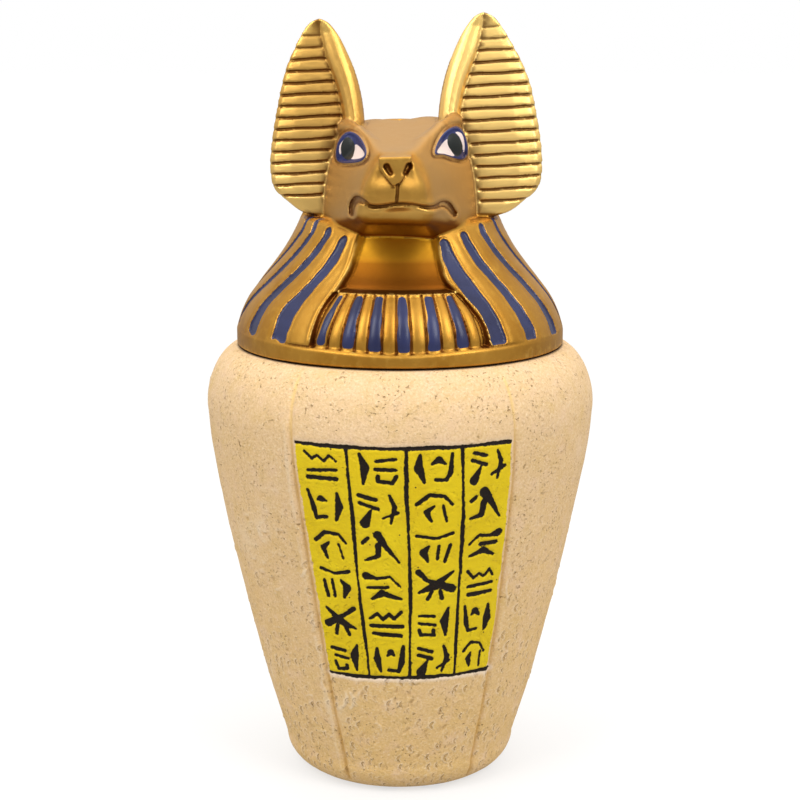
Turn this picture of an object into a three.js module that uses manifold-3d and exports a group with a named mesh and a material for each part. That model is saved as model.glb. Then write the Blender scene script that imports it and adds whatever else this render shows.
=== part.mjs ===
// A painted cast-resin canopic jar with a jackal-headed lid.
// Millimetres, +Z up, front towards -Y; the origin is the centre of the underside.
// Angles around the jar are in degrees from the front, positive towards +X.
import * as THREE from 'three';
import { mergeVertices } from 'three/addons/utils/BufferGeometryUtils.js';
import Module from 'manifold-3d';

const wasm = await Module();
wasm.setup();

// ---- driving dimensions: jar -------------------------------------------------------------
const baseRadius = 26;
const baseRounding = 9.15;
const sideProfile = [[9.15, 35.15], [30, 41.1], [50, 46.16], [70, 50.67], [90, 54.72], [104, 57],
  [113, 57.75]];
const shoulderStart = 113;
const shoulderHeight = 18;
const seatHeight = shoulderStart + shoulderHeight;
const seatRadius = 46.2;
const shoulderReach = 57.75 - seatRadius;
const mouthRadius = 36;
const wall = 6.3;
const floorThickness = 7;
const neckDepth = 6;

const panelHalfAngle = 32.6;
const panelTurnAtFoot = 5.6;
const panelTurnPerHeight = -0.04;
const grooveWidth = 2.1;
const grooveDepth = 0.8;
const grooveFoot = 1.2;
const grooveTop = 129;

// ---- driving dimensions: written panel ---------------------------------------------------
const panelBottom = 40.4;
const panelTop = 111;
const panelMargin = 1.4;
const strokeWidth = 1.3;
const strokeDepth = 0.45;
const panelRows = 6;
const dividerFeet = [-17.5, -1.5, 16.5];
const dividerHeads = [-15.2, 0, 14.8];
const markHalfAngle = 5.2;
const markHalfHeight = 4.3;

// ---- driving dimensions: lid -------------------------------------------------------------
const plugRadius = 35.4;
const plugLength = 6;
const plugChamfer = 0.8;
const rimRadius = 48.6;
const rimTop = 135.3;
const rimRounding = 1.2;
const clothProfile = [[135.8, 48.4], [140, 47], [145, 44.5], [150, 40.8], [155, 36.9], [160, 33.4],
  [165, 30.7], [168, 29.4], [172, 28.4]];
const stripeFoot = 136.4;
const stripeHead = 166;
const stripeDepth = 0.5;
const collarTop = 150.4;
const collarRib = 0.9;
const chestDepth = 3;

// centre of each dark stripe at its foot, at the waist of the cloth and at its head
const clothStripes = [
  [-45.8, -41.3, -30], [-63, -56.8, -41.6], [-84.5, -72.3, -55], [-102, -87.8, -67],
  [34.8, 30.4, 22.9], [50.6, 46.3, 35.7], [67.3, 62.8, 50.6], [85, 80.2, 68],
];
const backStripes = 9;
const stripeHalfWidths = [3.2, 2.9, 2.3];
const lappetEdges = { left: [-31.6, -28.6, -23.2], right: [31.6, 26, 20.8] };
const collarRibAngles = [-27.1, -22.4, -17.5, -13, -8.6, -3.6, 1.4, 6.6, 11.7, 16.7, 21.7, 26.6];
const stripeWaist = 149.5;

// the covered head, as oval sections: height, half width, depth behind and depth in front
const skullSections = [
  [164, 30, 30, 29], [166, 30.3, 30.3, 30], [168.4, 29.4, 29.6, 25.5], [170.4, 28.6, 29, 15],
  [177, 27.8, 28.5, 7], [184, 25.9, 27, 5], [190, 21.6, 23, 4], [194.2, 15, 16.5, 3], [196.3, 6, 8, 2],
];

// ---- driving dimensions: muzzle and face -------------------------------------------------
const headYaw = -1.6;
const headDepths = [6, -5, -13, -20, -26, -32, -37.5, -41.5, -43.6];
const cheekDepth = -13;
const padDepth = -43.6;
const noseTipDepth = -45.2;
// the long ridges of the head, from the crown line down to the throat: half width and
// height at the cheeks, the same at the muzzle's pad, and how hollow the ridge runs
const headRidges = [
  { cheeks: [10, 195.4], pad: [4.6, 188.8], hollow: 1 },
  { cheeks: [16.4, 195], pad: [6.2, 186.4], hollow: 0.62 },
  { cheeks: [19, 187], pad: [8.2, 181.4], hollow: 0.95 },
  { cheeks: [21.3, 175], pad: [8.6, 176.4], hollow: 1 },
  { cheeks: [21.8, 168], pad: [8.2, 170.8], hollow: 1 },
  { cheeks: [17, 161.6], pad: [7.4, 170], hollow: 1 },
];
const mouthHeight = 175.4;
const crownReach = -0.26;
const browRadius = 2.3;
const browPath = [[17, -8, 194], [15.4, -12.6, 194.4], [11.8, -18.6, 193], [7.6, -27, 190],
  [5.4, -35, 187.8]];
const eyeCentre = [13.8, -20, 189.4];
const eyeSize = [5.4, 2.3, 4.5];
const eyeTurn = 44;
const noseWidth = 9;
const noseTop = 188.6;
const nosePoint = 181.2;
const noseFront = -46.6;
const noseLength = 4;
const noseBevel = 0.7;
const nostrilOffset = 2.6;
const nostrilHeight = 185.3;
const nostrilSize = [1.1, 1.2, 1.3];
const lipCleft = [[0, -46, 182], [0, -46, 179], [0, -45.8, 176]];
const lipCleftRadius = 0.6;
const mouthGrooveRadius = 0.75;
const mouthPath = [[15.4, -27.6, 171.2], [14.5, -29.8, 174.4], [12.6, -34, 176.2],
  [10.5, -39.2, 175.4], [8.2, -43.8, 175.2], [0, -45.6, 175.8]];

// ---- driving dimensions: ears ------------------------------------------------------------
const earInnerEdge = [[166, 12], [190, 10.2], [197, 10.2], [204, 11.1], [211, 13], [217.6, 15.9],
  [221, 17.8], [225.2, 22.6]];
const earOuterEdge = [[166, 20], [168.4, 22], [170.4, 28.6], [173.1, 32.1], [176.6, 36.2], [180.1, 37.3],
  [184.5, 37.6], [190.4, 37.1], [200.7, 35.3], [211, 32.8], [217.6, 29.9], [223, 26.8], [225.2, 23.4]];
const earRidgeWidth = [[166, 7], [196, 5.8], [206, 6], [216, 5.2], [225.2, 0.3]];
const earGrooves = 16;
const earFirstGroove = 172.9;
const earGrooveStep = 3.2;
const earGrooveDepth = 0.65;
const rightEarSpread = 0.075;
const rightEarShift = 0.8;
const rightEarRise = 1.8;
const earTip = 225.2;
const earMiddle = -8;

// ---- small helpers -----------------------------------------------------------------------
const radians = THREE.MathUtils.degToRad;
const lerp = THREE.MathUtils.lerp;

// a smooth value through [place, value] pairs
function along(pairs, place) {
  const last = pairs.length - 1;
  if (place <= pairs[0][0]) return pairs[0][1];
  if (place >= pairs[last][0]) return pairs[last][1];
  const i = pairs.findIndex((pair, k) => k < last && place < pairs[k + 1][0]);
  const slope = (k) => {
    const before = pairs[Math.max(k - 1, 0)];
    const after = pairs[Math.min(k + 1, last)];
    return (after[1] - before[1]) / (after[0] - before[0]);
  };
  const span = pairs[i + 1][0] - pairs[i][0];
  const t = (place - pairs[i][0]) / span;
  const rise = pairs[i + 1][1] - pairs[i][1];
  const ease = t * t * (3 - 2 * t);
  return pairs[i][1] + rise * ease
    + span * slope(i) * t * (1 - t) ** 2 - span * slope(i + 1) * t * t * (1 - t);
}

// a value at the foot, waist and head of the cloth, in between by straight lines
function overCloth([foot, waist, head], height) {
  if (height < stripeWaist) return lerp(foot, waist, (height - stripeFoot) / (stripeWaist - stripeFoot));
  return lerp(waist, head, (height - stripeWaist) / (stripeHead - stripeWaist));
}

function around(radius, degrees, height) {
  const angle = radians(degrees);
  return new THREE.Vector3(radius * Math.sin(angle), -radius * Math.cos(angle), height);
}

// a closed skin over rings of equal count, each counter-clockwise seen from its far end
function loft(rings) {
  const count = rings[0].length;
  const positions = [];
  const triangles = [];
  const middle = (ring) => ring.reduce((sum, p) => sum.add(p), new THREE.Vector3()).divideScalar(count);
  rings.flat().forEach((p) => positions.push(p.x, p.y, p.z));
  for (let i = 0; i + 1 < rings.length; i++) {
    for (let j = 0; j < count; j++) {
      const a = i * count + j;
      const b = i * count + ((j + 1) % count);
      triangles.push(a, b, b + count, a, b + count, a + count);
    }
  }
  const start = rings.length * count;
  const end = start + 1;
  const lastRing = (rings.length - 1) * count;
  for (const centre of [middle(rings[0]), middle(rings.at(-1))]) {
    positions.push(centre.x, centre.y, centre.z);
  }
  for (let j = 0; j < count; j++) {
    const next = (j + 1) % count;
    triangles.push(start, next, j, end, lastRing + j, lastRing + next);
  }
  const geometry = new THREE.BufferGeometry();
  geometry.setAttribute('position', new THREE.Float32BufferAttribute(positions, 3));
  geometry.setIndex(triangles);
  return geometry;
}

function solid(geometry) {
  const bare = geometry.clone();
  bare.deleteAttribute('normal');
  bare.deleteAttribute('uv');
  const welded = mergeVertices(bare, 1e-4);
  const mesh = new wasm.Mesh({
    numProp: 3,
    vertProperties: new Float32Array(welded.attributes.position.array),
    triVerts: new Uint32Array(welded.index.array),
  });
  return new wasm.Manifold(mesh);
}

function geometryOf(manifold) {
  const mesh = manifold.getMesh();
  const geometry = new THREE.BufferGeometry();
  geometry.setAttribute('position', new THREE.BufferAttribute(mesh.vertProperties, 3));
  geometry.setIndex(new THREE.BufferAttribute(mesh.triVerts, 1));
  geometry.computeVertexNormals();
  return geometry;
}

function roundBar(path, radius, steps) {
  const curve = new THREE.CatmullRomCurve3(path.map((p) => new THREE.Vector3(...p)));
  const section = new THREE.Shape();
  section.absarc(0, 0, radius, 0, 2 * Math.PI);
  const options = { steps, curveSegments: 4, bevelEnabled: false, extrudePath: curve };
  return new THREE.ExtrudeGeometry(section, options);
}

function ball(centre, sizes, turn, detail = 2) {
  const geometry = new THREE.IcosahedronGeometry(1, detail);
  geometry.scale(...sizes);
  geometry.rotateZ(radians(turn));
  geometry.translate(...centre);
  return geometry;
}

const mirrored = (path, side) => path.map(([x, y, z]) => [side * x, y, z]);

// ---- jar ---------------------------------------------------------------------------------
function jarRadius(height) {
  if (height < baseRounding) {
    const drop = baseRounding - height;
    return baseRadius + Math.sqrt(baseRounding ** 2 - drop ** 2);
  }
  if (height > shoulderStart) {
    const rise = Math.min((height - shoulderStart) / shoulderHeight, 1);
    return seatRadius + shoulderReach * Math.sqrt(1 - rise * rise);
  }
  return along(sideProfile, height);
}

const panelTurn = (height) => panelTurnAtFoot + panelTurnPerHeight * height;

// angles of the outer skin at one height: three for each groove, the rest evenly between
function jarStations(height, radius) {
  const turn = panelTurn(height);
  const lip = THREE.MathUtils.radToDeg(grooveWidth / 2 / radius);
  const grooves = [-panelHalfAngle, panelHalfAngle, 180 - panelHalfAngle, 180 + panelHalfAngle];
  const between = [8, 12, 7, 12];
  const stations = [];
  grooves.forEach((groove, i) => {
    const next = grooves[(i + 1) % 4] + (i === 3 ? 360 : 0);
    stations.push({ angle: groove + turn, cut: true });
    for (let k = 0; k <= between[i]; k++) {
      stations.push({ angle: lerp(groove + lip, next - lip, k / between[i]) + turn, cut: false });
    }
  });
  return stations;
}

function jarRing(height) {
  const radius = jarRadius(height);
  const fade = THREE.MathUtils.clamp(Math.min(height - grooveFoot, grooveTop - height) / 2, 0, 1);
  return jarStations(height, radius).map(({ angle, cut }) => {
    const depth = cut ? grooveDepth * fade : 0;
    return around(radius - depth, angle, height);
  });
}

function jarSkin() {
  const heights = [];
  for (const angle of [0, 25, 45, 65]) heights.push(baseRounding * (1 - Math.cos(radians(angle))));
  for (const height of [baseRounding, 30, 50, 70, 90, 104, shoulderStart]) heights.push(height);
  for (const angle of [22, 40, 55, 68, 79, 90]) {
    heights.push(shoulderStart + shoulderHeight * Math.sin(radians(angle)));
  }
  return loft(heights.map(jarRing));
}

function roundRings(profile, sides) {
  return profile.map(([height, radius]) =>
    Array.from({ length: sides }, (_, i) => around(radius, (i * 360) / sides, height)));
}

function jarCavity() {
  const neck = seatHeight - neckDepth;
  const profile = [[floorThickness, baseRadius - 2], [floorThickness + 2.5, jarRadius(8) - wall]];
  for (const height of [26, 50, 74, 98, shoulderStart]) {
    profile.push([height, jarRadius(height) - wall]);
  }
  profile.push([neck - 5, jarRadius(neck) - wall], [neck - 2, mouthRadius + 5], [neck, mouthRadius]);
  profile.push([seatHeight + 2, mouthRadius]);
  return loft(roundRings(profile, 28));
}

// a shallow cut that follows the skin of the jar through [angle, height] points
function strokeCut(points, width = strokeWidth, depth = strokeDepth) {
  const rings = points.map(([angle, height], i) => {
    const [a0, h0] = points[Math.max(i - 1, 0)];
    const [a1, h1] = points[Math.min(i + 1, points.length - 1)];
    const radius = jarRadius(height);
    const run = new THREE.Vector2(radians(a1 - a0) * radius, h1 - h0).normalize();
    const corner = (side, lift) => {
      const shift = (side * width) / 2;
      const across = THREE.MathUtils.radToDeg((-run.y * shift) / radius);
      return around(radius + lift, angle + across, height + run.x * shift);
    };
    return [corner(-1, -depth), corner(1, -depth), corner(1, 1), corner(-1, 1)];
  });
  return solid(loft(rings));
}

// the marks of the panel: plain strokes in a box from -1 to 1, none of them a letter
const marks = [
  [[[-0.9, 0.3], [0.1, 0.9], [0.9, 0.4]]],
  [[[-0.8, 0.8], [0.7, 0.5]], [[-0.7, -0.8], [0.7, -0.2]]],
  [[[-0.6, 0.9], [-0.4, -0.4]], [[0.4, 0.8], [0.6, -0.5]]],
  [[[-0.9, -0.6], [-0.1, 0.4], [0.8, 0.2]]],
];

function panelCuts() {
  const cuts = [];
  const heights = [0, 0.2, 0.4, 0.6, 0.8, 1].map((t) => lerp(panelBottom, panelTop, t));
  const divider = (i, height) => {
    const rise = (height - panelBottom) / (panelTop - panelBottom);
    return lerp(dividerFeet[i], dividerHeads[i], rise) + panelTurn(height);
  };
  const edge = (side, height) => side * (panelHalfAngle - panelMargin) + panelTurn(height);
  dividerFeet.forEach((_, i) => {
    cuts.push(strokeCut(heights.map((height) => [divider(i, height), height])));
  });
  for (const height of [panelBottom, panelTop]) {
    const steps = [0, 0.125, 0.25, 0.375, 0.5, 0.625, 0.75, 0.875, 1];
    cuts.push(strokeCut(steps.map((t) => [lerp(edge(-1, height), edge(1, height), t), height])));
  }
  const pitch = (panelTop - panelBottom) / panelRows;
  for (let row = 0; row < panelRows; row++) {
    const height = panelBottom + pitch * (row + 0.5);
    const sides = [edge(-1, height), ...dividerFeet.map((_, i) => divider(i, height)), edge(1, height)];
    for (let column = 0; column < 4; column++) {
      const middle = (sides[column] + sides[column + 1]) / 2;
      const mark = marks[(row * 5 + column * 2 + (row % 2) * column) % marks.length];
      const flip = (row + column) % 2 ? -1 : 1;
      const place = ([u, v]) => [middle + flip * u * markHalfAngle, height + v * markHalfHeight];
      mark.forEach((stroke) => cuts.push(strokeCut(stroke.map(place))));
    }
  }
  return cuts;
}

function makeJar() {
  const cuts = wasm.Manifold.union(panelCuts());
  return solid(jarSkin()).subtract(solid(jarCavity())).subtract(cuts);
}

// ---- lid: plug, rim, striped cloth, collar and chest -------------------------------------
function allStripes() {
  const front = clothStripes.toSorted((a, b) => a[0] - b[0]);
  const first = front.at(-1);
  const last = front[0].map((angle) => angle + 360);
  const back = Array.from({ length: backStripes }, (_, i) => {
    const t = (i + 1) / (backStripes + 1);
    return first.map((angle, k) => lerp(angle, last[k], t));
  });
  return { front, back };
}

// stations around the cloth: what each one lies on, and its angle at the three heights
function clothStations() {
  const { front, back } = allStripes();
  const stations = [];
  const shift = (angles, offset) => angles.map((angle, k) => angle + offset * stripeHalfWidths[k]);
  const addStripe = (angles) => {
    for (const [offset, sunk] of [[-1.12, false], [-0.95, true], [0.95, true], [1.12, false]]) {
      stations.push({ angles: shift(angles, offset), kind: sunk ? 'stripe' : 'cloth' });
    }
  };
  front.filter(([foot]) => foot < 0).forEach(addStripe);
  stations.push({ angles: lappetEdges.left, kind: 'cloth' });
  const half = 2.3;
  const reach = 31;
  const ribShift = (rib, offset) => {
    const foot = rib + offset;
    const place = (foot + reach) / (2 * reach);
    const between = (k) => lerp(lappetEdges.left[k] + 0.5, lappetEdges.right[k] - 0.5, place);
    return [foot, between(1), between(2)];
  };
  collarRibAngles.forEach((rib) => {
    stations.push({ angles: ribShift(rib, -half), kind: 'groove' });
    stations.push({ angles: ribShift(rib, 0), kind: 'rib' });
  });
  stations.push({ angles: ribShift(collarRibAngles.at(-1), half), kind: 'groove' });
  stations.push({ angles: lappetEdges.right, kind: 'cloth' });
  front.filter(([foot]) => foot > 0).forEach(addStripe);
  back.forEach(addStripe);
  return stations;
}

function clothDepth(kind, height) {
  const striped = height > stripeFoot - 0.5 && height < stripeHead - 1;
  if (kind === 'cloth' || !striped) return 0;
  if (kind === 'stripe') return stripeDepth;
  if (height > collarTop) return chestDepth;
  return kind === 'groove' ? collarRib + 0.6 : 0.6;
}

function clothBody() {
  const stations = clothStations();
  const ring = (height, radius = along(clothProfile, height)) => stations.map(({ angles, kind }) => {
    const angle = overCloth(angles, THREE.MathUtils.clamp(height, stripeFoot, stripeHead));
    return around(radius - clothDepth(kind, height), angle, height);
  });
  const rings = [
    ring(seatHeight, rimRadius - rimRounding),
    ring(seatHeight + rimRounding * 0.35, rimRadius - rimRounding * 0.3),
    ring(seatHeight + rimRounding, rimRadius), ring(rimTop, rimRadius), ring(clothProfile[0][0]),
  ];
  for (const height of [stripeFoot + 0.2, 144, collarTop - 0.5, collarTop + 0.4, 156, 161, 165.6]) {
    rings.push(ring(height));
  }
  return loft(rings);
}

function plug() {
  const start = seatHeight - plugLength;
  const top = seatHeight + 1;
  const profile = [[start, plugRadius - plugChamfer], [start + plugChamfer, plugRadius], [top, plugRadius]];
  return loft(roundRings(profile, 24));
}

function skull() {
  const sides = 24;
  return loft(skullSections.map(([height, halfWidth, behind, inFront]) =>
    Array.from({ length: sides }, (_, i) => {
      const angle = (i * 2 * Math.PI) / sides;
      const depth = Math.cos(angle) > 0 ? inFront : behind;
      return new THREE.Vector3(halfWidth * Math.sin(angle), -depth * Math.cos(angle), height);
    })));
}

// ---- lid: head ---------------------------------------------------------------------------
function headRing(depth, corners) {
  const left = corners.map(([x, z]) => new THREE.Vector3(-x, depth, z));
  const right = corners.toReversed().map(([x, z]) => new THREE.Vector3(x, depth, z));
  const crown = new THREE.Vector3(0, depth, corners[0][1]);
  const throat = new THREE.Vector3(0, depth, corners.at(-1)[1]);
  return [crown, ...left, throat, ...right];
}

function headBlock() {
  const cornersAt = (depth) => headRidges.map(({ cheeks, pad, hollow }, ridge) => {
    const t = (cheekDepth - depth) / (cheekDepth - padDepth);
    const bent = t > 0 ? t ** hollow : 0;
    const rise = Math.max(t, ridge === 0 ? crownReach : 0);
    return [lerp(cheeks[0], pad[0], bent), lerp(cheeks[1], pad[1], rise)];
  });
  const rings = headDepths.map((depth) => headRing(depth, cornersAt(depth)));
  const pad = cornersAt(padDepth).map(([x, z]) => [x, Math.max(z, mouthHeight)]);
  const tip = pad.map(([x, z]) => [x * 0.78, lerp(z, 182, 0.16)]);
  rings[0] = headRing(headDepths[0], cornersAt(headDepths[0]).map(([x, z]) => [x * 0.8, z - 3]));
  rings[rings.length - 1] = headRing(padDepth, pad);
  rings.push(headRing(noseTipDepth, tip));
  return loft(rings);
}

function nose() {
  const outline = new THREE.Shape();
  const half = noseWidth / 2;
  outline.moveTo(-half, noseTop - 1);
  outline.quadraticCurveTo(-half * 0.9, noseTop - 4.5, -0.8, nosePoint);
  outline.lineTo(0.8, nosePoint);
  outline.quadraticCurveTo(half * 0.9, noseTop - 4.5, half, noseTop - 1);
  outline.quadraticCurveTo(half, noseTop, half - 1.2, noseTop);
  outline.lineTo(1.2 - half, noseTop);
  outline.quadraticCurveTo(-half, noseTop, -half, noseTop - 1);
  const options = {
    depth: noseLength,
    curveSegments: 2,
    bevelThickness: noseBevel,
    bevelSize: noseBevel,
    bevelOffset: -noseBevel,
    bevelSegments: 1,
  };
  const geometry = new THREE.ExtrudeGeometry(outline, options);
  geometry.rotateX(Math.PI / 2);
  geometry.translate(0, noseFront + noseLength + noseBevel, 0);
  return geometry;
}

function makeHead() {
  const added = [solid(nose())];
  const cut = [solid(roundBar(lipCleft, lipCleftRadius, 2))];
  for (const side of [-1, 1]) {
    added.push(solid(roundBar(mirrored(browPath, side), browRadius, 5)));
    added.push(solid(ball([side * eyeCentre[0], eyeCentre[1], eyeCentre[2]], eyeSize, side * eyeTurn)));
    const nostril = [side * nostrilOffset, noseFront + 0.1, nostrilHeight];
    cut.push(solid(ball(nostril, nostrilSize, 0, 1)));
    cut.push(solid(roundBar(mirrored(mouthPath, side), mouthGrooveRadius, 8)));
  }
  const head = wasm.Manifold.union([solid(headBlock()), ...added]).subtract(wasm.Manifold.union(cut));
  return head.rotate([0, 0, headYaw]);
}

// ---- lid: ears ---------------------------------------------------------------------------
// one level of an ear that stands on the +X side, from its inner edge round the front
function earRing(height, sunk, right) {
  const reach = THREE.MathUtils.clamp((earTip - height) / 20, 0, 1);
  const spread = right ? 1 + rightEarSpread * reach : 1;
  const shift = right ? rightEarShift : 0;
  const inner = along(earInnerEdge, height) + shift;
  const outer = Math.max(along(earOuterEdge, height) * spread + shift, inner + 0.8);
  const ridge = Math.min(along(earRidgeWidth, height), (outer - inner) * 0.5);
  const panel = inner + ridge;
  const slim = THREE.MathUtils.clamp((earTip - height) / 30, 0.12, 1);
  const at = (x, forward) => new THREE.Vector3(x, earMiddle - forward * slim, height);
  const cut = sunk ? earGrooveDepth / slim : 0;
  const edge = outer - (sunk ? earGrooveDepth * 0.6 : 0);
  return [
    at(inner, -0.5), at(inner + ridge * 0.25, 4.8), at(inner + ridge * 0.7, 5.9), at(panel, 3.4 - cut),
    at(lerp(panel, edge, 0.5), 2.4 - cut), at(edge - 0.7, 2 - cut), at(edge, 0.2),
    at(lerp(panel, edge, 0.7), -3), at(lerp(inner, edge, 0.25), -4.8),
  ];
}

function makeEar(side) {
  const right = side > 0;
  const stretch = right ? rightEarRise / (earTip - earFirstGroove) : 0;
  const levels = [[166, false], [168.4, false], [170.6, false]];
  for (let i = 0; i < earGrooves; i++) {
    const height = earFirstGroove + i * earGrooveStep;
    levels.push([height, true], [height + earGrooveStep / 2, false]);
  }
  levels.push([earTip - 1.2, false], [earTip, false]);
  const rings = levels.map(([height, sunk]) => earRing(height, sunk, right).map((p) => {
    p.z += Math.max(p.z - earFirstGroove, 0) * stretch;
    p.x *= side;
    return p;
  }));
  return solid(loft(right ? rings : rings.map((ring) => ring.toReversed())));
}

function makeLid() {
  const body = [solid(clothBody()), solid(plug()), solid(skull()), makeHead(), makeEar(-1), makeEar(1)];
  return wasm.Manifold.union(body);
}

// ---- the part ----------------------------------------------------------------------------
function piece(name, manifold, finish) {
  const mesh = new THREE.Mesh(geometryOf(manifold), new THREE.MeshStandardMaterial(finish));
  mesh.name = name;
  return mesh;
}

const stoneFinish = { color: 0xe9cf9e, roughness: 0.85, metalness: 0 };
const goldFinish = { color: 0xb8862b, roughness: 0.38, metalness: 0.8 };

const jar = new THREE.Group();
jar.add(piece('jar', makeJar(), stoneFinish));
jar.add(piece('lid', makeLid(), goldFinish));

export default jar;
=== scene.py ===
from itertools import product
from math import cos, radians, sin

import bpy
import numpy as np
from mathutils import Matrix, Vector


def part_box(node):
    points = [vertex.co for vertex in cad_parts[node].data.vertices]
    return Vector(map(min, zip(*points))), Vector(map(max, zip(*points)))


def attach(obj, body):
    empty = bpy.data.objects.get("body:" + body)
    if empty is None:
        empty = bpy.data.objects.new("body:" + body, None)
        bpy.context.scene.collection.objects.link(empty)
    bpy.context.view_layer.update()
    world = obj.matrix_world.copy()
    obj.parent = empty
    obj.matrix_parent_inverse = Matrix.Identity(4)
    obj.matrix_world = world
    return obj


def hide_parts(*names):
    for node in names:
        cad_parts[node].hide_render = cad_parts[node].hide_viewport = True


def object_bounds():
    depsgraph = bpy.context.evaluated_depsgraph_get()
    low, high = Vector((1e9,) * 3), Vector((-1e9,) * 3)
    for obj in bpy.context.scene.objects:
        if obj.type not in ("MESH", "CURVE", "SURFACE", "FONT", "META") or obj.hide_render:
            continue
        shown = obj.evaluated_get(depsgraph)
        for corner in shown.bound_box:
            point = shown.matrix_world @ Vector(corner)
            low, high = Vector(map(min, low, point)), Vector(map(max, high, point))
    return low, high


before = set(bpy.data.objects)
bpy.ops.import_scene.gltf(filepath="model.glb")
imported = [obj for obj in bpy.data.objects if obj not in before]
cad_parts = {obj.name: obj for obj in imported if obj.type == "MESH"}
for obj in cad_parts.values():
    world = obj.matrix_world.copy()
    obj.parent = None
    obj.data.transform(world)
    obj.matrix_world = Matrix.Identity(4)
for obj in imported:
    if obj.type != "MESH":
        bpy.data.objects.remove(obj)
cad_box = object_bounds()

# ---- camera -------------------------------------------------------------------------------
# A long lens about two and a third times the whole height away, just below the tips of the
# ears and tipped down to the middle of the piece.
height = cad_box[1].z - cad_box[0].z
camera_data = bpy.data.cameras.new("camera")
camera_data.lens = 80.36
camera_data.sensor_width = 36
camera = bpy.data.objects.new("camera", camera_data)
camera.location = (0, -2.328 * height, 0.976 * height)
camera.rotation_euler = (radians(78.35), 0, 0)
bpy.context.collection.objects.link(camera)
bpy.context.scene.camera = camera
bpy.context.scene.view_settings.view_transform = "Standard"


# ---- floor and light ----------------------------------------------------------------------
# A pale table that fades to white away from the jar, a white room that is dimmer behind the
# camera, and three softboxes: above and a little behind, front left and front right.
def palette(name):
    """A new material and a function that puts nodes in it: sockets take values or links."""
    material = bpy.data.materials.new(name)
    material.use_nodes = True
    return material, node_maker(material.node_tree)


def node_maker(tree):
    """Empties a node tree and gives the function that puts nodes in it."""
    tree.nodes.clear()

    def put(kind, sockets=None, **settings):
        made = tree.nodes.new("ShaderNode" + kind)
        for key, value in settings.items():
            setattr(made, key, value)
        for key, value in (sockets or {}).items():
            if isinstance(value, bpy.types.Node):
                value = value.outputs[0]
            if isinstance(value, bpy.types.NodeSocket):
                tree.links.new(value, made.inputs[key])
            else:
                made.inputs[key].default_value = value
        return made

    return put


def grey(share):
    """A neutral colour, or a plain number carried as one."""
    return share, share, share, 1


def add_mesh(name, points, faces, material):
    """A mesh object at the origin, from points in metres."""
    mesh = bpy.data.meshes.new(name)
    mesh.from_pydata(np.asarray(points).tolist(), [], [list(face) for face in faces])
    mesh.validate()
    mesh.shade_smooth()
    mesh.materials.append(material)
    made = bpy.data.objects.new(name, mesh)
    bpy.context.collection.objects.link(made)
    return made


floor_size = 40 * height
floor_paper, put = palette("floor_paper")
place = put("TexCoord")
reach = put("VectorMath", {0: place.outputs["Object"]}, operation="LENGTH")
fade = put("MapRange", {"Value": reach.outputs["Value"],
                        "From Min": 0.6 * height, "From Max": 2.2 * height})
paper = put("BsdfDiffuse", {"Color": grey(0.86)})
seen = put("LightPath").outputs["Is Camera Ray"]
glow = put("MapRange", {"Value": seen, "To Min": 0.42, "To Max": 1.02})
white = put("Emission", {"Color": (1, 1, 1, 1), "Strength": glow.outputs[0]})
near = put("MixShader", {0: 0.62, 1: paper, 2: white})
surface = put("MixShader", {0: fade.outputs[0], 1: near, 2: white})
put("OutputMaterial", {0: surface})
corners = [(x * floor_size, y * floor_size, -0.0001) for x, y in [(-1, -1), (1, -1), (1, 1), (-1, 1)]]
floor = add_mesh("floor", corners, [(0, 1, 2, 3)], floor_paper)

world = bpy.data.worlds.new("white_room")
world.use_nodes = True
bpy.context.scene.world = world
put = node_maker(world.node_tree)
direction = put("SeparateXYZ", {0: put("TexCoord").outputs["Generated"]})
behind = put("MapRange", {"Value": direction.outputs["Y"], "From Min": -0.95, "From Max": -0.1,
                          "To Min": 0.29, "To Max": 0.72}, interpolation_type="SMOOTHSTEP")
above = put("MapRange", {"Value": direction.outputs["Z"], "From Min": 0.1, "From Max": 0.9,
                         "To Min": 0.0, "To Max": 0.3}, interpolation_type="SMOOTHSTEP")
room = put("Math", {0: behind.outputs[0], 1: above.outputs[0]}, operation="ADD")
lit = put("Background", {"Color": (1, 0.985, 0.96, 1), "Strength": room})
seen = put("Background", {"Color": (1, 1, 1, 1), "Strength": 1.0})
camera_ray = put("LightPath").outputs["Is Camera Ray"]
put("OutputWorld", {0: put("MixShader", {0: camera_ray, 1: lit, 2: seen})})


def softbox(name, azimuth, elevation, distance, size, watts):
    """A rectangular light that faces the lid's rim; azimuth 0 is in front of the jar."""
    data = bpy.data.lights.new(name, "AREA")
    data.shape = "RECTANGLE"
    data.size, data.size_y = size
    data.energy = watts
    lamp = bpy.data.objects.new(name, data)
    a, e = radians(azimuth), radians(elevation)
    back = Vector((sin(a) * cos(e), -cos(a) * cos(e), sin(e)))
    lamp.location = Vector((0, 0, 0.6 * height)) + back * distance
    lamp.rotation_euler = (-back).to_track_quat("-Z", "Y").to_euler()
    bpy.context.collection.objects.link(lamp)


softbox("softbox_above", 180, 76, 0.9, (0.8, 0.5), 2.4)
softbox("softbox_left", -44, 38, 1.0, (0.45, 0.6), 4.7)
softbox("softbox_right", 42, 34, 1.0, (0.45, 0.6), 5.0)


# ---- jar ----------------------------------------------------------------------------------
# The vessel: one hollow casting in stone-filled resin, with a small flat foot, tapering
# sides, a round shoulder and a flat seat for the lid. Four long grooves run up it, and the
# panel in front has its lines and marks cast in. It is painted as pitted cream sandstone.
jar_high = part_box("jar")[1]
seat = 131.0                      # the drawing is in millimetres
mm = jar_high.z / seat            # one of them, in metres
foot_radius = 26.0
foot_rounding = 9.15
side_profile = [(9.15, 35.15), (30, 41.1), (50, 46.16), (70, 50.67), (90, 54.72), (104, 57),
                (113, 57.75)]
shoulder_foot = 113.0
seat_radius = 46.2
mouth_radius = 36.0
wall = 6.3

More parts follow.
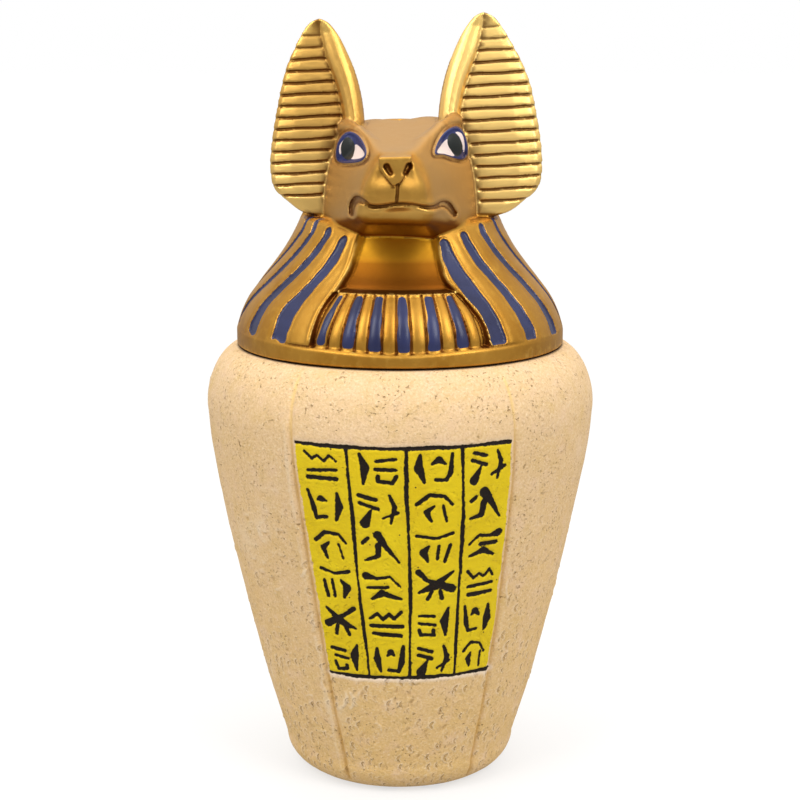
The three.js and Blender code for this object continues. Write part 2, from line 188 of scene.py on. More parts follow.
groove_angles = (-32.6, 32.6, 147.4, 212.6)
groove_depth = 0.7
groove_half = 1.15
panel_foot, panel_head = 40.4, 111.0
panel_edge = 31.2
divider_feet = (-15.7, 0.0, 16.8)
divider_heads = (-16.2, 0.5, 16.2)
line_half = 0.5                   # half the width of the panel's lines
stroke_depth = 0.42
mark_rows = 6
mark_margin = (1.9, 1.1)          # bare degrees beside a mark, millimetres above and below it
dent_count, thread_count = 620, 120
no_paint = 9.0                    # the distance given where no paint is near
chance = np.random.default_rng(7)


def through(pairs, place):
    """A smooth curve through (place, value) pairs, level beyond its ends."""
    x, y = np.array(pairs, float).T
    after = np.minimum(np.arange(len(x)) + 1, len(x) - 1)
    before = np.maximum(np.arange(len(x)) - 1, 0)
    slope = (y[after] - y[before]) / (x[after] - x[before])
    i = np.clip(np.searchsorted(x, place) - 1, 0, len(x) - 2)
    span = x[i + 1] - x[i]
    t = np.clip((place - x[i]) / span, 0, 1)
    steady = y[i] + (y[i + 1] - y[i]) * t * t * (3 - 2 * t)
    return steady + span * slope[i] * t * (1 - t) ** 2 - span * slope[i + 1] * t * t * (1 - t)


def ease(low, high, value):
    """0 below low, 1 above high, and a soft step between them."""
    t = np.clip((value - low) / (high - low), 0, 1)
    return t * t * (3 - 2 * t)


def hump(value, middle, half):
    """1 at the middle, falling away smoothly on both sides of it."""
    return np.exp(-((value - middle) / half) ** 2)


def lumps(points, size, seed):
    """Smooth random heights from -1 to 1, with lumps of about the given size."""
    cell = points / size + 31.7 * seed
    low = np.floor(cell).astype(np.int64)
    t = cell - low
    t = t * t * (3 - 2 * t)
    total = np.zeros(len(points))
    for corner in product((0, 1), repeat=3):
        c = low + np.array(corner)
        key = c[:, 0] * 73856093 ^ c[:, 1] * 19349663 ^ c[:, 2] * 83492791
        key = (key ^ (key >> 13)) * 1274126177 & 0x7FFFFFFF
        share = np.prod(np.where(corner, t, 1 - t), axis=1)
        total += share * (((key >> 8) & 0xFFFF) / 32767.5 - 1)
    return total


def jar_radius(z):
    """The jar's outside radius at a height, before its grooves."""
    drop = np.clip(foot_rounding - z, 0, foot_rounding)
    rise = np.clip((z - shoulder_foot) / (seat - shoulder_foot), 0, 1)
    foot = foot_radius + np.sqrt(foot_rounding ** 2 - drop ** 2)
    shoulder = seat_radius + (side_profile[-1][1] - seat_radius) * np.sqrt(1 - rise ** 2)
    side = through(side_profile, z)
    return np.where(z < foot_rounding, foot, np.where(z > shoulder_foot, shoulder, side))


def panel_turn(z):
    """The grooves and the panel lean: their middle line, in degrees from the front."""
    return 5.6 - 0.04 * z


def jar_path():
    """The jar's wall in section, from the middle of the underside round to its cavity floor."""
    path = [(r, 0) for r in (4, 12, 19, 24, foot_radius)]
    for angle in np.linspace(7, 90, 13):
        path.append((foot_radius + foot_rounding * sin(radians(angle)),
                     foot_rounding * (1 - cos(radians(angle)))))
    heights = [*np.arange(9.9, panel_foot - 1.4, 0.6), *np.arange(panel_foot - 1.2, panel_head + 1.4, 0.52)]
    path += [(float(jar_radius(z)), z) for z in heights]
    for angle in np.linspace(0, 90, 27):
        path.append((seat_radius + (side_profile[-1][1] - seat_radius) * cos(radians(angle)),
                     shoulder_foot + (seat - shoulder_foot) * sin(radians(angle))))
    outside = len(path)
    path += [(45.4, seat), (40.5, seat), (36.8, seat), (mouth_radius, seat - 0.8), (mouth_radius, 126)]
    path += [(mouth_radius + 0.8, 125), (mouth_radius + 5, 123)]
    path += [(float(jar_radius(z)) - wall, z) for z in (120, 113, 98, 74, 50, 26, 9.5)]
    path += [(foot_radius - 2, 7), (12, 7), (4, 7)]
    return np.array(path), outside


def jar_columns():
    """Angles round the jar from the panel's middle: fine in front and at the back grooves."""
    fine = np.arange(-36, 36, 0.47)
    sides = []
    for low, high in ((36, 145.6), (149.2, 210.8), (214.4, 324)):
        sides.append(np.linspace(low, high, int((high - low) / 1.4), endpoint=False))
    back = [np.linspace(low, low + 3.6, 7, endpoint=False) for low in (145.6, 210.8)]
    return np.sort(np.concatenate([fine, *sides, *back]))


def stroke_distance(u, v, points, halves):
    """Distance from (u, v) to a brush stroke through points, whose half width changes."""
    best = np.full(u.shape, 99.0)
    for (a, b), ra, rb in zip(zip(points[:-1], points[1:]), halves[:-1], halves[1:]):
        run = np.subtract(b, a)
        t = ((u - a[0]) * run[0] + (v - a[1]) * run[1]) / max(run @ run, 1e-9)
        t = np.clip(t, 0, 1)
        gap = np.hypot(u - a[0] - t * run[0], v - a[1] - t * run[1])
        best = np.minimum(best, gap - ra - (rb - ra) * t)
    return best


# The marks are plain strokes of a flat brush, each (points in a box from -1 to 1, half widths).
bar, blade, wedge = (0.62, 0.66), (0.45, 1.35, 0.45), (0.4, 0.9, 1.5)
marks = [
    [([(0.7, 0.9), (0.55, 0.1), (0.62, -0.85)], blade),
     ([(-0.85, 0.55), (0.0, 0.45)], bar),
     ([(-0.8, 0.0), (0.05, -0.1)], bar),
     ([(-0.85, -0.4), (-0.7, -0.85), (-0.05, -0.75), (0.0, -0.5)], bar)],
    [([(-0.85, -0.85), (-0.25, 0.1), (0.15, 0.85)], wedge),
     ([(0.15, 0.15), (0.2, -0.6), (0.85, -0.8)], (1.1, 0.9, 0.5)),
     ([(0.6, 0.55), (0.85, 0.3)], bar)],
    [([(-0.85, 0.3), (-0.5, 0.65), (-0.2, 0.25), (0.15, 0.6), (0.45, 0.3), (0.85, 0.8)], (0.5, 0.55)),
     ([(-0.8, -0.2), (0.8, -0.25)], bar),
     ([(-0.7, -0.75), (0.8, -0.8)], bar)],
    [([(-0.85, 0.15), (-0.4, 0.75), (0.3, 0.8), (0.85, 0.3)], (0.5, 0.7)),
     ([(-0.45, 0.1), (-0.55, -0.85)], blade),
     ([(0.1, 0.15), (0.45, -0.2), (0.25, -0.8)], (0.5, 1.1, 0.5))],
    [([(-0.85, 0.8), (0.0, 0.0), (0.85, -0.5)], blade),
     ([(0.85, 0.85), (0.35, 0.4), (-0.85, -0.3)], (0.9, 0.6, 1.3)),
     ([(-0.25, -0.35), (-0.45, -0.9)], bar),
     ([(0.15, -0.4), (0.4, -0.9)], bar)],
    [([(-0.85, 0.8), (-0.05, 0.5)], bar),
     ([(-0.85, 0.3), (-0.1, 0.0)], bar),
     ([(-0.35, -0.15), (-0.75, -0.85)], wedge),
     ([(0.5, 0.85), (0.75, 0.1), (0.55, -0.85)], (0.4, 0.8, 0.4)),
     ([(0.2, -0.65), (0.9, -0.2)], (0.5, 0.6))],
    [([(-0.9, 0.6), (-0.35, 0.45), (0.3, 0.55), (0.85, 0.0)], (1.3, 0.5, 0.5, 0.4)),
     ([(-0.8, -0.05), (0.2, -0.1)], bar),
     ([(-0.7, -0.85), (-0.1, -0.5), (0.85, -0.8)], (0.5, 1.2, 0.5))],
    [([(-0.7, 0.85), (-0.75, 0.0), (-0.5, -0.85)], blade),
     ([(-0.1, 0.3), (0.2, 0.5), (0.45, 0.3)], (0.4, 1.1, 0.4)),
     ([(0.9, 0.9), (0.75, -0.2), (0.6, -0.75), (0.0, -0.7)], (0.5, 0.9, 0.6, 0.6))],
    [([(-0.85, 0.85), (0.05, 0.6), (0.85, 0.85)], (0.6, 0.5, 0.6)),
     ([(-0.75, 0.1), (-0.55, -0.85)], bar),
     ([(-0.2, 0.15), (-0.1, -0.8)], bar),
     ([(0.3, 0.2), (0.6, -0.3), (0.4, -0.85)], (0.5, 1.3, 0.6))],
]


def panel_strokes():
    """All strokes of the panel as (points, half widths), in degrees from its middle and mm."""
    strokes = []
    heights = np.linspace(panel_foot, panel_head, 24)
    rise = (heights - panel_foot) / (panel_head - panel_foot)
    for foot, head in zip(divider_feet, divider_heads):
        wander = 0.25 * np.sin(heights / 9 + foot) + chance.normal(0, 0.07, len(heights))
        line = list(zip(foot + (head - foot) * rise + wander, heights))
        strokes.append((line, line_half + 0.12 * np.sin(heights / 5 + head)))
    for level, reach_right in ((panel_foot, 0.6), (panel_head, -0.4)):
        angles = np.linspace(-panel_edge, panel_edge + reach_right, 26)
        line = list(zip(angles, level + chance.normal(0, 0.08, len(angles))))
        strokes.append((line, line_half + 0.06 + 0.1 * np.sin(angles / 4)))
    pitch = (panel_head - panel_foot) / mark_rows
    for row in range(mark_rows):
        middle_height = panel_foot + pitch * (row + 0.5)
        part = (middle_height - panel_foot) / (panel_head - panel_foot)
        dividers = [f + (h - f) * part for f, h in zip(divider_feet, divider_heads)]
        edges = [-panel_edge, *dividers, panel_edge]
        for column in range(4):
            left, right = edges[column] + mark_margin[0], edges[column + 1] - mark_margin[0]
            kind = marks[(row * 4 + column * 7) % len(marks)]
            flip = chance.choice((-1, 1))
            for corners, halves in kind:
                points = np.array(corners) + chance.normal(0, 0.04, (len(corners), 2))
                shares = np.linspace(0, 1, len(halves))
                half = np.interp(np.linspace(0, 1, len(points)), shares, halves)
                half = half * chance.uniform(0.78, 1.08)
                line = [((left + right) / 2 + flip * u * (right - left) / 2,
                         middle_height + v * (pitch / 2 - mark_margin[1])) for u, v in points]
                strokes.append((line, half))
    return strokes


def around_gap(angle, middle):
    """Angle from middle, in degrees, the short way round."""
    return (angle - middle + 180) % 360 - 180


def jar_relief(angle, z, radius, spots):
    """How far each point of the jar's outside stands proud, with its paint measures."""
    arc = np.radians(1) * radius
    relief = 0.22 * lumps(spots, 24, 1) + 0.09 * lumps(spots, 8, 2) + 0.05 * lumps(spots, 2.4, 3)
    groove = np.zeros_like(relief)
    ends = ease(0.8, 4, z) * ease(130.5, 127, z)
    shallower = ease(129, 112, z)
    for middle in groove_angles:
        across = np.abs(around_gap(angle, middle)) * arc + 0.18 * lumps(spots, 6, 4)
        cut = np.clip(1 - across / groove_half, 0, 1) ** 1.2 * ends
        groove = np.maximum(groove, cut)
        side = np.sign(around_gap(angle, middle)) * (1 if middle > 180 or middle < 0 else -1)
        relief += (0.1 - 0.08 * side) * hump(across, 1.9, 0.9) * ends * shallower
    relief -= groove_depth * groove * (0.25 + 0.75 * shallower)
    return relief, groove


def strike_dents(relief, angle, z, radius, count):
    """Slanting chisel flecks, alone or in pairs like a beak, struck into the relief in place."""
    pits = np.zeros_like(relief)

    def strike(spot_angle, spot_z, lean, length, width, depth):
        rows = np.abs(z[:, 0] - spot_z) < 5
        du = around_gap(angle[rows], spot_angle) * np.radians(1) * radius[rows]
        dv = z[rows] - spot_z
        along = (du * cos(lean) + dv * sin(lean)) / length
        across = (dv * cos(lean) - du * sin(lean)) / width
        dent = np.exp(-((along - 0.5) ** 2 * 3 + across ** 2))
        lip = np.exp(-((along - 0.5) ** 2 * 3 + (across - 1.9) ** 2))
        relief[rows] += depth * (0.7 * lip - dent)
        pits[rows] = np.maximum(pits[rows], dent * depth * 2)

    for _ in range(count):
        spot_angle, spot_z = chance.uniform(-180, 180), chance.triangular(2, 30, 129)
        in_panel = abs(spot_angle) < panel_edge and panel_foot < spot_z < panel_head
        length, width = chance.uniform(0.8, 2.2), chance.uniform(0.3, 0.6)
        lean = radians(chance.normal(50 if spot_z < 60 else 8, 18))
        depth = chance.uniform(0.08, 0.36) * (0.2 if in_panel else 1)
        strike(spot_angle, spot_z, lean, length, width, depth)
        if chance.random() < 0.35:
            strike(spot_angle, spot_z, -lean + chance.normal(0, 0.2), length * 0.7, width, depth * 0.8)
    return pits


def raised_threads(relief, angle, z, radius, count):
    """Short curved threads left proud by the mould."""
    for _ in range(count):
        start, low = chance.uniform(-180, 180), chance.triangular(6, 18, 120)
        if abs(start) < panel_edge + 4 and panel_foot - 4 < low < panel_head + 3:
            continue
        length, heading, turn = chance.uniform(3, 8), chance.uniform(0.3, 2.6), chance.uniform(-1.6, 1.6)
        shares = np.linspace(0, 1, 7)
        headings = heading + turn * shares
        across = np.cumsum(np.cos(headings)) * length / 7
        up = np.cumsum(np.sin(headings)) * length / 7
        rows = np.abs(z[:, 0] - low) < 12
        du = around_gap(angle[rows], start) * np.radians(1) * radius[rows]
        gap = stroke_distance(du, z[rows] - low, list(zip(across, up)), np.zeros(7))
        relief[rows] += 0.28 * hump(gap, 0, 0.4)


path, outside = jar_path()
columns = jar_columns()
angle = np.tile(columns, (len(path), 1))
z = np.repeat(path[:, 1:], len(columns), axis=1)
radius = np.repeat(path[:, :1], len(columns), axis=1)
turned = np.radians(angle + panel_turn(z))
spots = np.stack([radius * np.sin(turned), -radius * np.cos(turned), z], axis=-1)
outer_angle, outer_z, outer_radius = angle[:outside], z[:outside], radius[:outside]
skin = spots[:outside].reshape(-1, 3)
relief, groove = jar_relief(outer_angle.ravel(), outer_z.ravel(), outer_radius.ravel(), skin)
relief = relief.reshape(outside, -1)
pits = strike_dents(relief, outer_angle, outer_z, outer_radius, dent_count)
raised_threads(relief, outer_angle, outer_z, outer_radius, thread_count)

# the panel's paint: signed distances in millimetres, negative inside
arc = np.radians(1) * outer_radius
side_angle = around_gap(outer_angle, 0)
uneven = 0.35 * lumps(skin, 5, 5).reshape(outside, -1) + 0.15 * lumps(skin, 1.5, 6).reshape(outside, -1)
yellow = np.maximum((np.abs(side_angle) - panel_edge) * arc + uneven,
                    np.maximum(panel_foot - outer_z, outer_z - panel_head))
ink = np.full_like(relief, no_paint)
for line, halves in panel_strokes():
    line = np.array(line, float)
    rows = (outer_z[:, 0] > line[:, 1].min() - 3) & (outer_z[:, 0] < line[:, 1].max() + 3)
    middle_arc = arc[rows].mean()
    across = side_angle[rows] * middle_arc
    points = [(a * middle_arc, h) for a, h in line]
    ink[rows] = np.minimum(ink[rows], stroke_distance(across, outer_z[rows], points, halves))
relief -= stroke_depth * ease(0.15, -0.45, ink)
relief += 0.12 * hump(ink, 0.55, 0.35) * (yellow < 0)

outward = np.gradient(path[:outside, 1]), -np.gradient(path[:outside, 0])
length = np.hypot(*outward)
out_radius, out_height = (outward[0] / length)[:, None], (outward[1] / length)[:, None]
calm = ease(0.0, 1.5, outer_z) * ease(seat + 0.01, seat - 1.2, outer_z)
relief *= calm
spots[:outside, :, 0] += relief * out_radius * np.sin(turned[:outside])
spots[:outside, :, 1] -= relief * out_radius * np.cos(turned[:outside])
spots[:outside, :, 2] += relief * out_height


def ring_faces(row_count, column_count):
    """Quads between neighbouring rings, and a fan of triangles on the first and the last."""
    first = np.arange(row_count * column_count).reshape(row_count, column_count)
    second = np.roll(first, -1, axis=1)
    quads = np.stack([first[:-1], second[:-1], second[1:], first[1:]], axis=-1).reshape(-1, 4)
    bottom, top = row_count * column_count, row_count * column_count + 1
    fans = [(bottom, b, a) for a, b in zip(first[0], second[0])]
    fans += [(top, a, b) for a, b in zip(first[-1], second[-1])]
    return [*quads.tolist(), *fans]


def keep(piece, **measures):
    """Stores one number for each vertex, for the piece's material to read."""
    for name, values in measures.items():
        attribute = piece.data.attributes.new(name, "FLOAT", "POINT")
        attribute.data.foreach_set("value", np.asarray(values, np.float32).ravel())


def everywhere(values, other):
    """Outside measures, carried on over the cavity and the two centre points with a plain value."""
    rest = len(columns) * (len(path) - outside) + 2
    return np.concatenate([values.ravel(), np.full(rest, other)])


points = np.concatenate([spots.reshape(-1, 3), [(0, 0, 0), (0, 0, 7)]]) * mm


# Sandstone paint: cream above, tanner towards the foot, with pale dry-brushed high spots,
# ochre in the grooves, grit and brown pits; the panel is yellow with black strokes.
# The helpers below put their nodes in the material in hand, the one that put belongs to.
def read(name):
    """A number kept on the mesh."""
    return put("Attribute", attribute_name=name).outputs["Fac"]


def mix(share, first, second):
    """The first colour where share is 0 and the second where it is 1."""
    return put("Mix", {0: share, 6: first, 7: second}, data_type="RGBA").outputs[2]


def noise(where, scale, detail=4.0, roughness=0.55):
    """Clouds of about 0.2 to 0.8; the scale is how many fit in a metre."""
    settings = {"Vector": where, "Scale": scale, "Detail": detail, "Roughness": roughness}
    return put("TexNoise", settings).outputs["Fac"]


def ramp(value, low, high, to_low=0.0, to_high=1.0):
    """A straight change between two values, level beyond them."""
    made = put("MapRange", {"Value": value, "From Min": low, "From Max": high,
                            "To Min": to_low, "To Max": to_high})
    return made.outputs[0]


def sums(kind, first, second):
    """One step of arithmetic on numbers or node outputs."""
    return put("Math", {0: first, 1: second}, operation=kind).outputs[0]


def plus(first, second):
    return sums("ADD", first, second)


def minus(first, second):
    return sums("SUBTRACT", first, second)


def times(first, second):
    return sums("MULTIPLY", first, second)


def ragged(name, grain, half):
    """A number kept on the mesh, made uneven by a noise so that a paint's edge isn't clean."""
    return plus(read(name), ramp(grain, 0.2, 0.8, -half, half))


def tint(red, green, blue):
    """A colour given as it looks on screen, 0 to 255, turned into the shader's numbers."""
    share = [c / 255 for c in (red, green, blue)]
    return (*(c / 12.92 if c <= 0.04045 else ((c + 0.055) / 1.055) ** 2.4 for c in share), 1)


notch_length, notch_width = 0.0015, 0.0004     # in metres


def notches(where, scale):
    """Little chisel notches like a V on its side, one to a cell, and the pale rims round them."""
    place = put("SeparateXYZ", {0: where})
    bearing = put("Math", {0: place.outputs["X"], 1: times(place.outputs["Y"], -1.0)},
                  operation="ARCTAN2")
    unrolled = put("CombineXYZ", {0: times(bearing, 50 * mm), 1: place.outputs["Z"]})
    cells = put("TexVoronoi", {"Vector": unrolled, "Scale": scale}, voronoi_dimensions="2D")
    away = put("VectorMath", {0: unrolled, 1: cells.outputs["Position"]}, operation="SUBTRACT")
    pick = put("SeparateColor", {0: cells.outputs["Color"]})
    stretch = ramp(pick.outputs[1], 0, 1, 0.8, 1.8)
    away = put("VectorMath", {0: away, "Scale": stretch}, operation="SCALE")
    square = put("VectorMath", {0: away, 1: away}, operation="DOT_PRODUCT").outputs["Value"]
    nearest = None
    for up in (0.62, -0.78):
        along = put("VectorMath", {0: away, 1: ((1 - up * up) ** 0.5, up, 0)}, operation="DOT_PRODUCT")
        along = along.outputs["Value"]
        across = minus(square, times(along, along))
        past = minus(along, notch_length / 2)
        past = sums("DIVIDE", times(past, past), (0.62 * notch_length) ** 2)
        reach = plus(past, sums("DIVIDE", across, notch_width ** 2))
        nearest = reach if nearest is None else sums("MINIMUM", nearest, reach)
    chosen = ramp(pick.outputs[0], 0.42, 0.75)
    dent = times(ramp(nearest, 1.3, 0.2), chosen)
    rim = times(ramp(nearest, 7.0, 1.2), chosen)
    return dent, times(rim, ramp(nearest, 0.5, 1.5))


sandstone, put = palette("painted_sandstone")
where = put("TexCoord").outputs["Object"]
level = put("SeparateXYZ", {0: where}).outputs["Z"]
clouds = noise(where, 55)
blotches = noise(where, 190, 5)
grit = noise(where, 1500, 3, 0.7)
pinpricks = noise(where, 1150, 2, 0.5)
rising = plus(ramp(level, 0.010, 0.120), ramp(clouds, 0.35, 0.65, -0.2, 0.2))
stone = mix(rising, tint(225, 187, 126), tint(229, 195, 149))
stone = mix(ramp(blotches, 0.52, 0.75, 0, 0.55), stone, tint(234, 200, 168))
stone = mix(ramp(blotches, 0.46, 0.25, 0, 0.5), stone, tint(214, 178, 106))
stone = mix(ramp(grit, 0.53, 0.72, 0, 0.6), stone, tint(248, 226, 188))
stone = mix(ramp(grit, 0.46, 0.26, 0, 0.5), stone, tint(176, 138, 86))
patches = ramp(noise(where, 130, 3), 0.44, 0.54)
pricked = times(ramp(pinpricks, 0.38, 0.28), patches)
stone = mix(times(pricked, 0.7), stone, tint(150, 112, 64))
notch, notch_rim = notches(where, 260.0)
towards_foot = ramp(level, 0.100, 0.040, 0.25, 1.0)
notch = times(notch, towards_foot)
notch_rim = times(notch_rim, towards_foot)
stone = mix(times(notch_rim, 0.4), stone, tint(244, 222, 190))
stone = mix(times(notch, 0.5), stone, tint(176, 134, 76))
ochre = mix(ramp(level, 0.104, 0.118), tint(202, 156, 80), tint(238, 200, 128))
stone = mix(ramp(read("groove"), 0.3, 0.95, 0, 0.75), stone, ochre)
stone = mix(ramp(read("pit"), 0.15, 0.8, 0, 0.7), stone, tint(166, 126, 76))
stone = mix(ramp(read("lift"), 0.16, 0.42, 0, 0.5), stone, tint(246, 226, 196))
# Painted shade: the jar's top under the lid's rim is painted near black, for the shadow in the joint.
lid_joint_shade = ramp(level, (seat - 0.5) * mm, (seat - 0.25) * mm)
stone = mix(lid_joint_shade, stone, tint(44, 26, 12))
foot_wear = times(ramp(level, 0.0022, 0.0006), ramp(blotches, 0.5, 0.62))
stone = mix(foot_wear, stone, tint(120, 84, 60))

yellow_paint = mix(ramp(clouds, 0.3, 0.7), tint(222, 190, 10), tint(230, 202, 20))
yellow_paint = mix(ramp(blotches, 0.5, 0.8, 0, 0.5), yellow_paint, tint(208, 168, 12))
specks = put("TexVoronoi", {"Vector": where, "Scale": 420.0}).outputs["Distance"]
speck_here = times(ramp(specks, 0.12, 0.08), ramp(blotches, 0.53, 0.58))
yellow_paint = mix(speck_here, yellow_paint, tint(60, 38, 12))
brush = noise(where, 900, 3)
ink_edge = ragged("ink", brush, 0.2)
yellow_edge = ragged("yellow", brush, 0.25)
dry = noise(where, 2600, 2)
black_paint = mix(ramp(dry, 0.55, 0.8, 0, 0.4), tint(20, 9, 2), tint(74, 50, 24))
in_yellow = ramp(yellow_edge, 0.08, -0.08)
in_ink = ramp(ink_edge, 0.07, -0.07)
halo = ramp(level, (panel_foot + 1.5) * mm, panel_foot * mm, 0.15, 0.6)
halo = times(ramp(read("ink"), 1.4, 0.3), halo)
stone = mix(halo, stone, tint(244, 226, 208))
skin_colour = mix(in_yellow, stone, yellow_paint)
skin_colour = mix(in_ink, skin_colour, black_paint)
gloss = mix(in_yellow, grey(0.82), grey(0.62))
gloss = mix(in_ink, gloss, grey(0.55))
bumps = plus(times(grit, 0.8), times(noise(where, 620, 4), 0.9))
bumps = minus(bumps, pricked)
bumps = plus(bumps, times(notch_rim, 0.35))
bumps = minus(bumps, times(notch, 1.1))
bump = put("Bump", {"Strength": 0.9, "Distance": 0.0003, "Height": bumps})
shader = put("BsdfPrincipled", {"Base Color": skin_colour, "Roughness": gloss, "Normal": bump,
                                "Specular IOR Level": 0.25})
put("OutputMaterial", {0: shader})

jar = add_mesh("painted_jar", points, ring_faces(len(path), len(columns)), sandstone)
keep(jar, groove=everywhere(groove, 0), pit=everywhere(pits, 0), ink=everywhere(ink, no_paint),
     yellow=everywhere(yellow, no_paint), lift=everywhere(relief, 0))
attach(jar, "root")
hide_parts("jar")


# ---- lid ----------------------------------------------------------------------------------
# One lift-off casting: a plug, a plain rim, the striped headcloth with a ribbed collar and a
# bare chest between its two falls, and the jackal's head with its tall ribbed ears. It is
# painted satin antique gold with brown wash in the hollows and dark blue stripes. Painted shade
# darkens the wider hollows, the underside of the jaw and the foot of the chest; painted
# highlights lighten the ears, the top of the chest and the lower muzzle, and a painted sheen
# pales the head.
lid_low, lid_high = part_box("lid")
rim_radius = 48.6
rim_top = 135.6
plug_radius = 35.4
plug_foot = lid_low.z / mm
cloth_profile = [(135.8, 48.4), (140, 47.0), (145, 44.5), (150, 40.8), (155, 36.9), (160, 33.4),
                 (165, 30.7), (168, 29.4), (172, 28.4)]
cloth_slope = 0.8                 # turns a level gap to the slanting cloth into a true one
cloth_top = 168.4
front_drop = 1.7                  # how much lower the cloth ends in front, below the jaw
skull_centre = 168.0
skull_half = (28.6, 29.2, 28.6)   # half its width, its depth behind, its height
skull_front = 6.5
skull_square = 2.4                # 2 would be an ellipsoid; more is squarer


def join(first, second, soft):
    """The union of two distance fields, with a fillet where they meet."""
    h = np.clip(0.5 + 0.5 * (second - first) / soft, 0, 1)
    return second + (first - second) * h - soft * h * (1 - h)


def shared(first, second, soft):
    """What two distance fields share, with a rounded edge."""
    return -join(-first, -second, soft)


def rounded_max(first, second):
    """Signed distance to a strip with a round end, from the gaps to its side and its end."""
    outside = np.hypot(np.maximum(first, 0), np.maximum(second, 0))
    return np.minimum(np.maximum(first, second), 0) + outside


def degrees_round(x, y):
    """Degrees round from the front, positive towards +X."""
    return np.degrees(np.arctan2(x, -y))


def above_rim(angle, z):
    """Height above the top of the plain rim, which dips in front and to the right."""
    return z - rim_top + 1.1 * hump(angle, 0, 18) + 0.7 * hump(angle, 72, 22)


# Each stripe: its middle and its half width, in degrees, at five heights, and its two ends.
stripe_heights = (139, 145, 151, 158, 165)
stripes = [
    [(-45.3, -44.2, -39.7, -33.9, -30.6), (3.5, 4.0, 2.9, 2.9, 2.2), 136.5, 165.3],
    [(-62.5, -60.4, -55.3, -48.2, -42.5), (3.3, 2.9, 2.7, 2.6, 2.2), 136.7, 167.3],
    [(-84.7, -77.4, -70.2, -62.5, -55.4), (2.8, 2.4, 2.3, 2.2, 2.0), 136.9, 186],
    [(-102, -94.5, -86.0, -76.8, -67.8), (2.8, 2.4, 2.3, 2.2, 2.1), 136.9, 187],
    [(35.0, 33.2, 29.2, 24.9, 23.1), (3.2, 3.3, 4.1, 3.8, 2.3), 136.4, 164.6],
    [(50.8, 48.5, 45.5, 40.2, 36.4), (3.0, 2.8, 2.6, 3.0, 2.6), 136.4, 166.2],
    [(67.6, 65.4, 62.3, 56.7, 51.6), (3.1, 2.5, 2.6, 2.6, 2.6), 135.9, 168],
    [(85.4, 82.4, 79.6, 74.0, 68.5), (2.8, 2.3, 2.3, 2.3, 2.3), 136.3, 186],
]
right_stripes = range(4, 8)
back_stripe_count = 9
first_back, last_back = np.array(stripes[7][0]), np.array(stripes[3][0]) + 360
for number in range(1, back_stripe_count + 1):
    share = number / (back_stripe_count + 1)
    middles = first_back + (last_back - first_back) * share
    widths = np.array((3.0, 2.7, 2.6, 2.6, 2.6)) + 0.3 * sin(number * 2.1)
    stripes.append([tuple(middles), tuple(widths), 136.9 + 0.2 * sin(number * 5), 190 + sin(number)])
stripe_depth = 0.5
stripe_lean = 0.93                # stripes slant, so they are narrower than a level line shows
stripe_top = 1.3                  # the radius of a stripe's upper corners
neat_foot, ragged_foot = (0.08, 1.0), (0.45, 0.5)     # swing of the foot line, corner radius
height_table = np.linspace(130, 200, 281)
stripe_tables = [(through(list(zip(stripe_heights, middles)), height_table),
                  through(list(zip(stripe_heights, widths)), height_table), foot, head)
                 for middles, widths, foot, head in stripes]

# the front edges of the cloth's two falls: height, and degrees round from the front
left_fall = [(138, -31.6), (141, -31.4), (146.5, -30.1), (152, -26.8), (156.5, -24.5),
             (162.5, -23.5), (166, -23.2)]
right_fall = [(138, 31.6), (142.5, 30.6), (145.5, 28.6), (149.5, 25.2), (153.6, 21.2), (157.5, 20.5),
              (166, 20.8)]
chest_depth = 3.0
collar_foot, collar_top = 136.0, 150.5
# ribs of the collar: middle in degrees at the foot and at the top, and whether it is blue
collar_ribs = [(-27.6, -23.4, True), (-22.7, -19.6, False), (-17.7, -15.9, True), (-13.1, -12.0, False),
               (-8.6, -8.0, True), (-3.6, -3.6, False), (1.3, 0.7, True), (6.4, 5.9, False),
               (11.6, 11.1, True), (16.6, 15.3, False), (21.7, 19.4, True), (26.3, 22.6, False)]


def stripe_distance(angle, z, radius):
    """Signed distance in millimetres to the blue stripes of the cloth."""
    arc = np.radians(1) * radius
    best = np.full_like(z, no_paint)
    uneven = 0.07 * np.sin(1.3 * z + 0.21 * angle) + 0.03 * np.sin(4.3 * z - 0.33 * angle)
    for number, (middles, widths, foot, head) in enumerate(stripe_tables):
        off = around_gap(angle, np.interp(z, height_table, middles))
        near = np.abs(off) < 12
        past = np.abs(off[near]) - np.interp(z[near], height_table, widths)
        side = past * arc[near] * stripe_lean + uneven[near]
        swing, corner = neat_foot if number in right_stripes else ragged_foot
        foot_here = foot - swing * np.sin(off[near] * 0.9 + number)
        bottom = rounded_max(side + corner, foot_here - z[near] + corner) - corner
        top = rounded_max(side + stripe_top, z[near] - head + stripe_top) - stripe_top
        best[near] = np.minimum(best[near], np.maximum(bottom, top))
    return best


